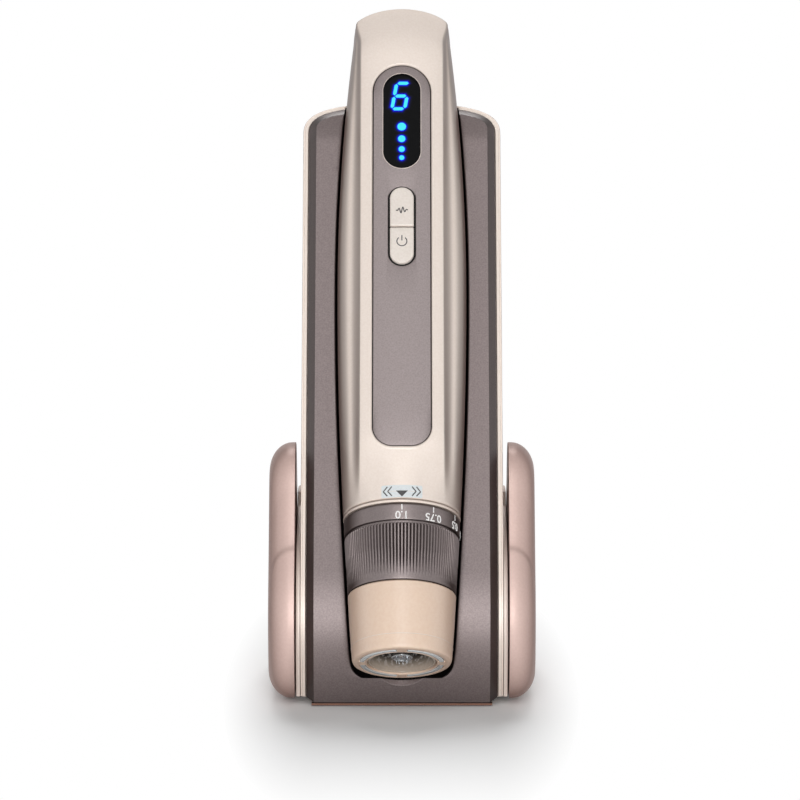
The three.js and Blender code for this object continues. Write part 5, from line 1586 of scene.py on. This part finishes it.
class PEN_OT_stage(Operator):
    """White floor and backdrop, soft lamps and the camera."""

    bl_idname = "pen.stage"
    bl_label = "Stage"

    def execute(self, context):
        scene = context.scene
        turn = np.linspace(0, np.pi / 2, 30)
        sweep_y = SWEEP_FROM + SWEEP_RADIUS * np.sin(turn)
        sweep_z = SWEEP_RADIUS * (1 - np.cos(turn))
        y = np.concatenate([[FLOOR_FRONT], sweep_y, [SWEEP_FROM + SWEEP_RADIUS]])
        z = np.concatenate([[0.0], sweep_z, [WALL_TOP]])
        row = np.stack([np.zeros_like(y), y, z], axis=-1)
        grid = np.stack([row + [-FLOOR_HALF, 0, 0], row + [FLOOR_HALF, 0, 0]], axis=1)
        mesh = bpy.data.meshes.new("floor")
        mesh.from_pydata(grid.reshape(-1, 3).tolist(), [], quads(len(y), 2, False).tolist())
        mesh.polygons.foreach_set("use_smooth", np.ones(len(mesh.polygons), dtype=bool))
        floor = bpy.data.objects.new("floor", mesh)
        floor.data.materials.append(white_paper())
        scene.collection.objects.link(floor)

        world = bpy.data.worlds.new("studio")
        scene.world = world
        world.use_nodes = True
        sky = world.node_tree.nodes["Background"]
        level = add(world.node_tree, "ShaderNodeMapRange",
                    {"Value": watched(world.node_tree), "To Min": WORLD_FILL, "To Max": 1.0})
        world.node_tree.links.new(level.outputs["Result"], sky.inputs["Strength"])
        sky.inputs["Color"].default_value = WHITE
        for box in LAMPS:
            lamp(*box)

        view = bpy.data.cameras.new("camera")
        view.sensor_width = SENSOR
        view.lens = SENSOR * CAMERA_FOCUS / PICTURE
        view.clip_start = 0.05
        view.clip_end = 20
        eye = bpy.data.objects.new("camera", view)
        rise = math.radians(CAMERA_RISE)
        away = Vector((0.0, -math.cos(rise), math.sin(rise)))
        x, y, z = CAMERA_AIM
        eye.location = Vector((x, y + SHIFT, z)) * MM + away * CAMERA_AWAY
        eye.rotation_euler = (-away).to_track_quat("-Z", "Y").to_euler()
        scene.collection.objects.link(eye)
        scene.camera = eye
        scene.view_settings.view_transform = "Standard"
        return {"FINISHED"}


class VIEW3D_PT_pen_dock(Panel):
    """Lists the steps that dress the pen and its dock."""

    bl_space_type = "VIEW_3D"
    bl_region_type = "UI"
    bl_category = "Pen and Dock"
    bl_label = "Pen and Dock"

    def draw(self, context):
        layout = self.layout
        for name in STEPS:
            layout.operator(name)
        for group in ("pen_sizes", "dock_sizes", "colours"):
            box = layout.box()
            settings = getattr(context.scene, group)
            for key in settings.__annotations__:
                box.prop(settings, key)


CLASSES = (
    PenSizes,
    DockSizes,
    Colours,
    PEN_OT_finishes,
    PEN_OT_body,
    PEN_OT_face,
    PEN_OT_display,
    PEN_OT_buttons,
    PEN_OT_label,
    PEN_OT_dial,
    PEN_OT_nose,
    DOCK_OT_panel,
    DOCK_OT_shell,
    DOCK_OT_cheeks,
    DOCK_OT_socket,
    DOCK_OT_base,
    PEN_OT_stage,
    VIEW3D_PT_pen_dock,
)
STEPS = [cls.bl_idname for cls in CLASSES if issubclass(cls, Operator)]


def register():
    for cls in CLASSES:
        bpy.utils.register_class(cls)
    bpy.types.Scene.pen_sizes = PointerProperty(type=PenSizes)
    bpy.types.Scene.dock_sizes = PointerProperty(type=DockSizes)
    bpy.types.Scene.colours = PointerProperty(type=Colours)


def unregister():
    del bpy.types.Scene.colours
    del bpy.types.Scene.dock_sizes
    del bpy.types.Scene.pen_sizes
    for cls in reversed(CLASSES):
        bpy.utils.unregister_class(cls)


def main():
    register()
    for name in STEPS:
        group, step = name.split(".")
        getattr(getattr(bpy.ops, group), step)()


if __name__ == "__main__":
    main()
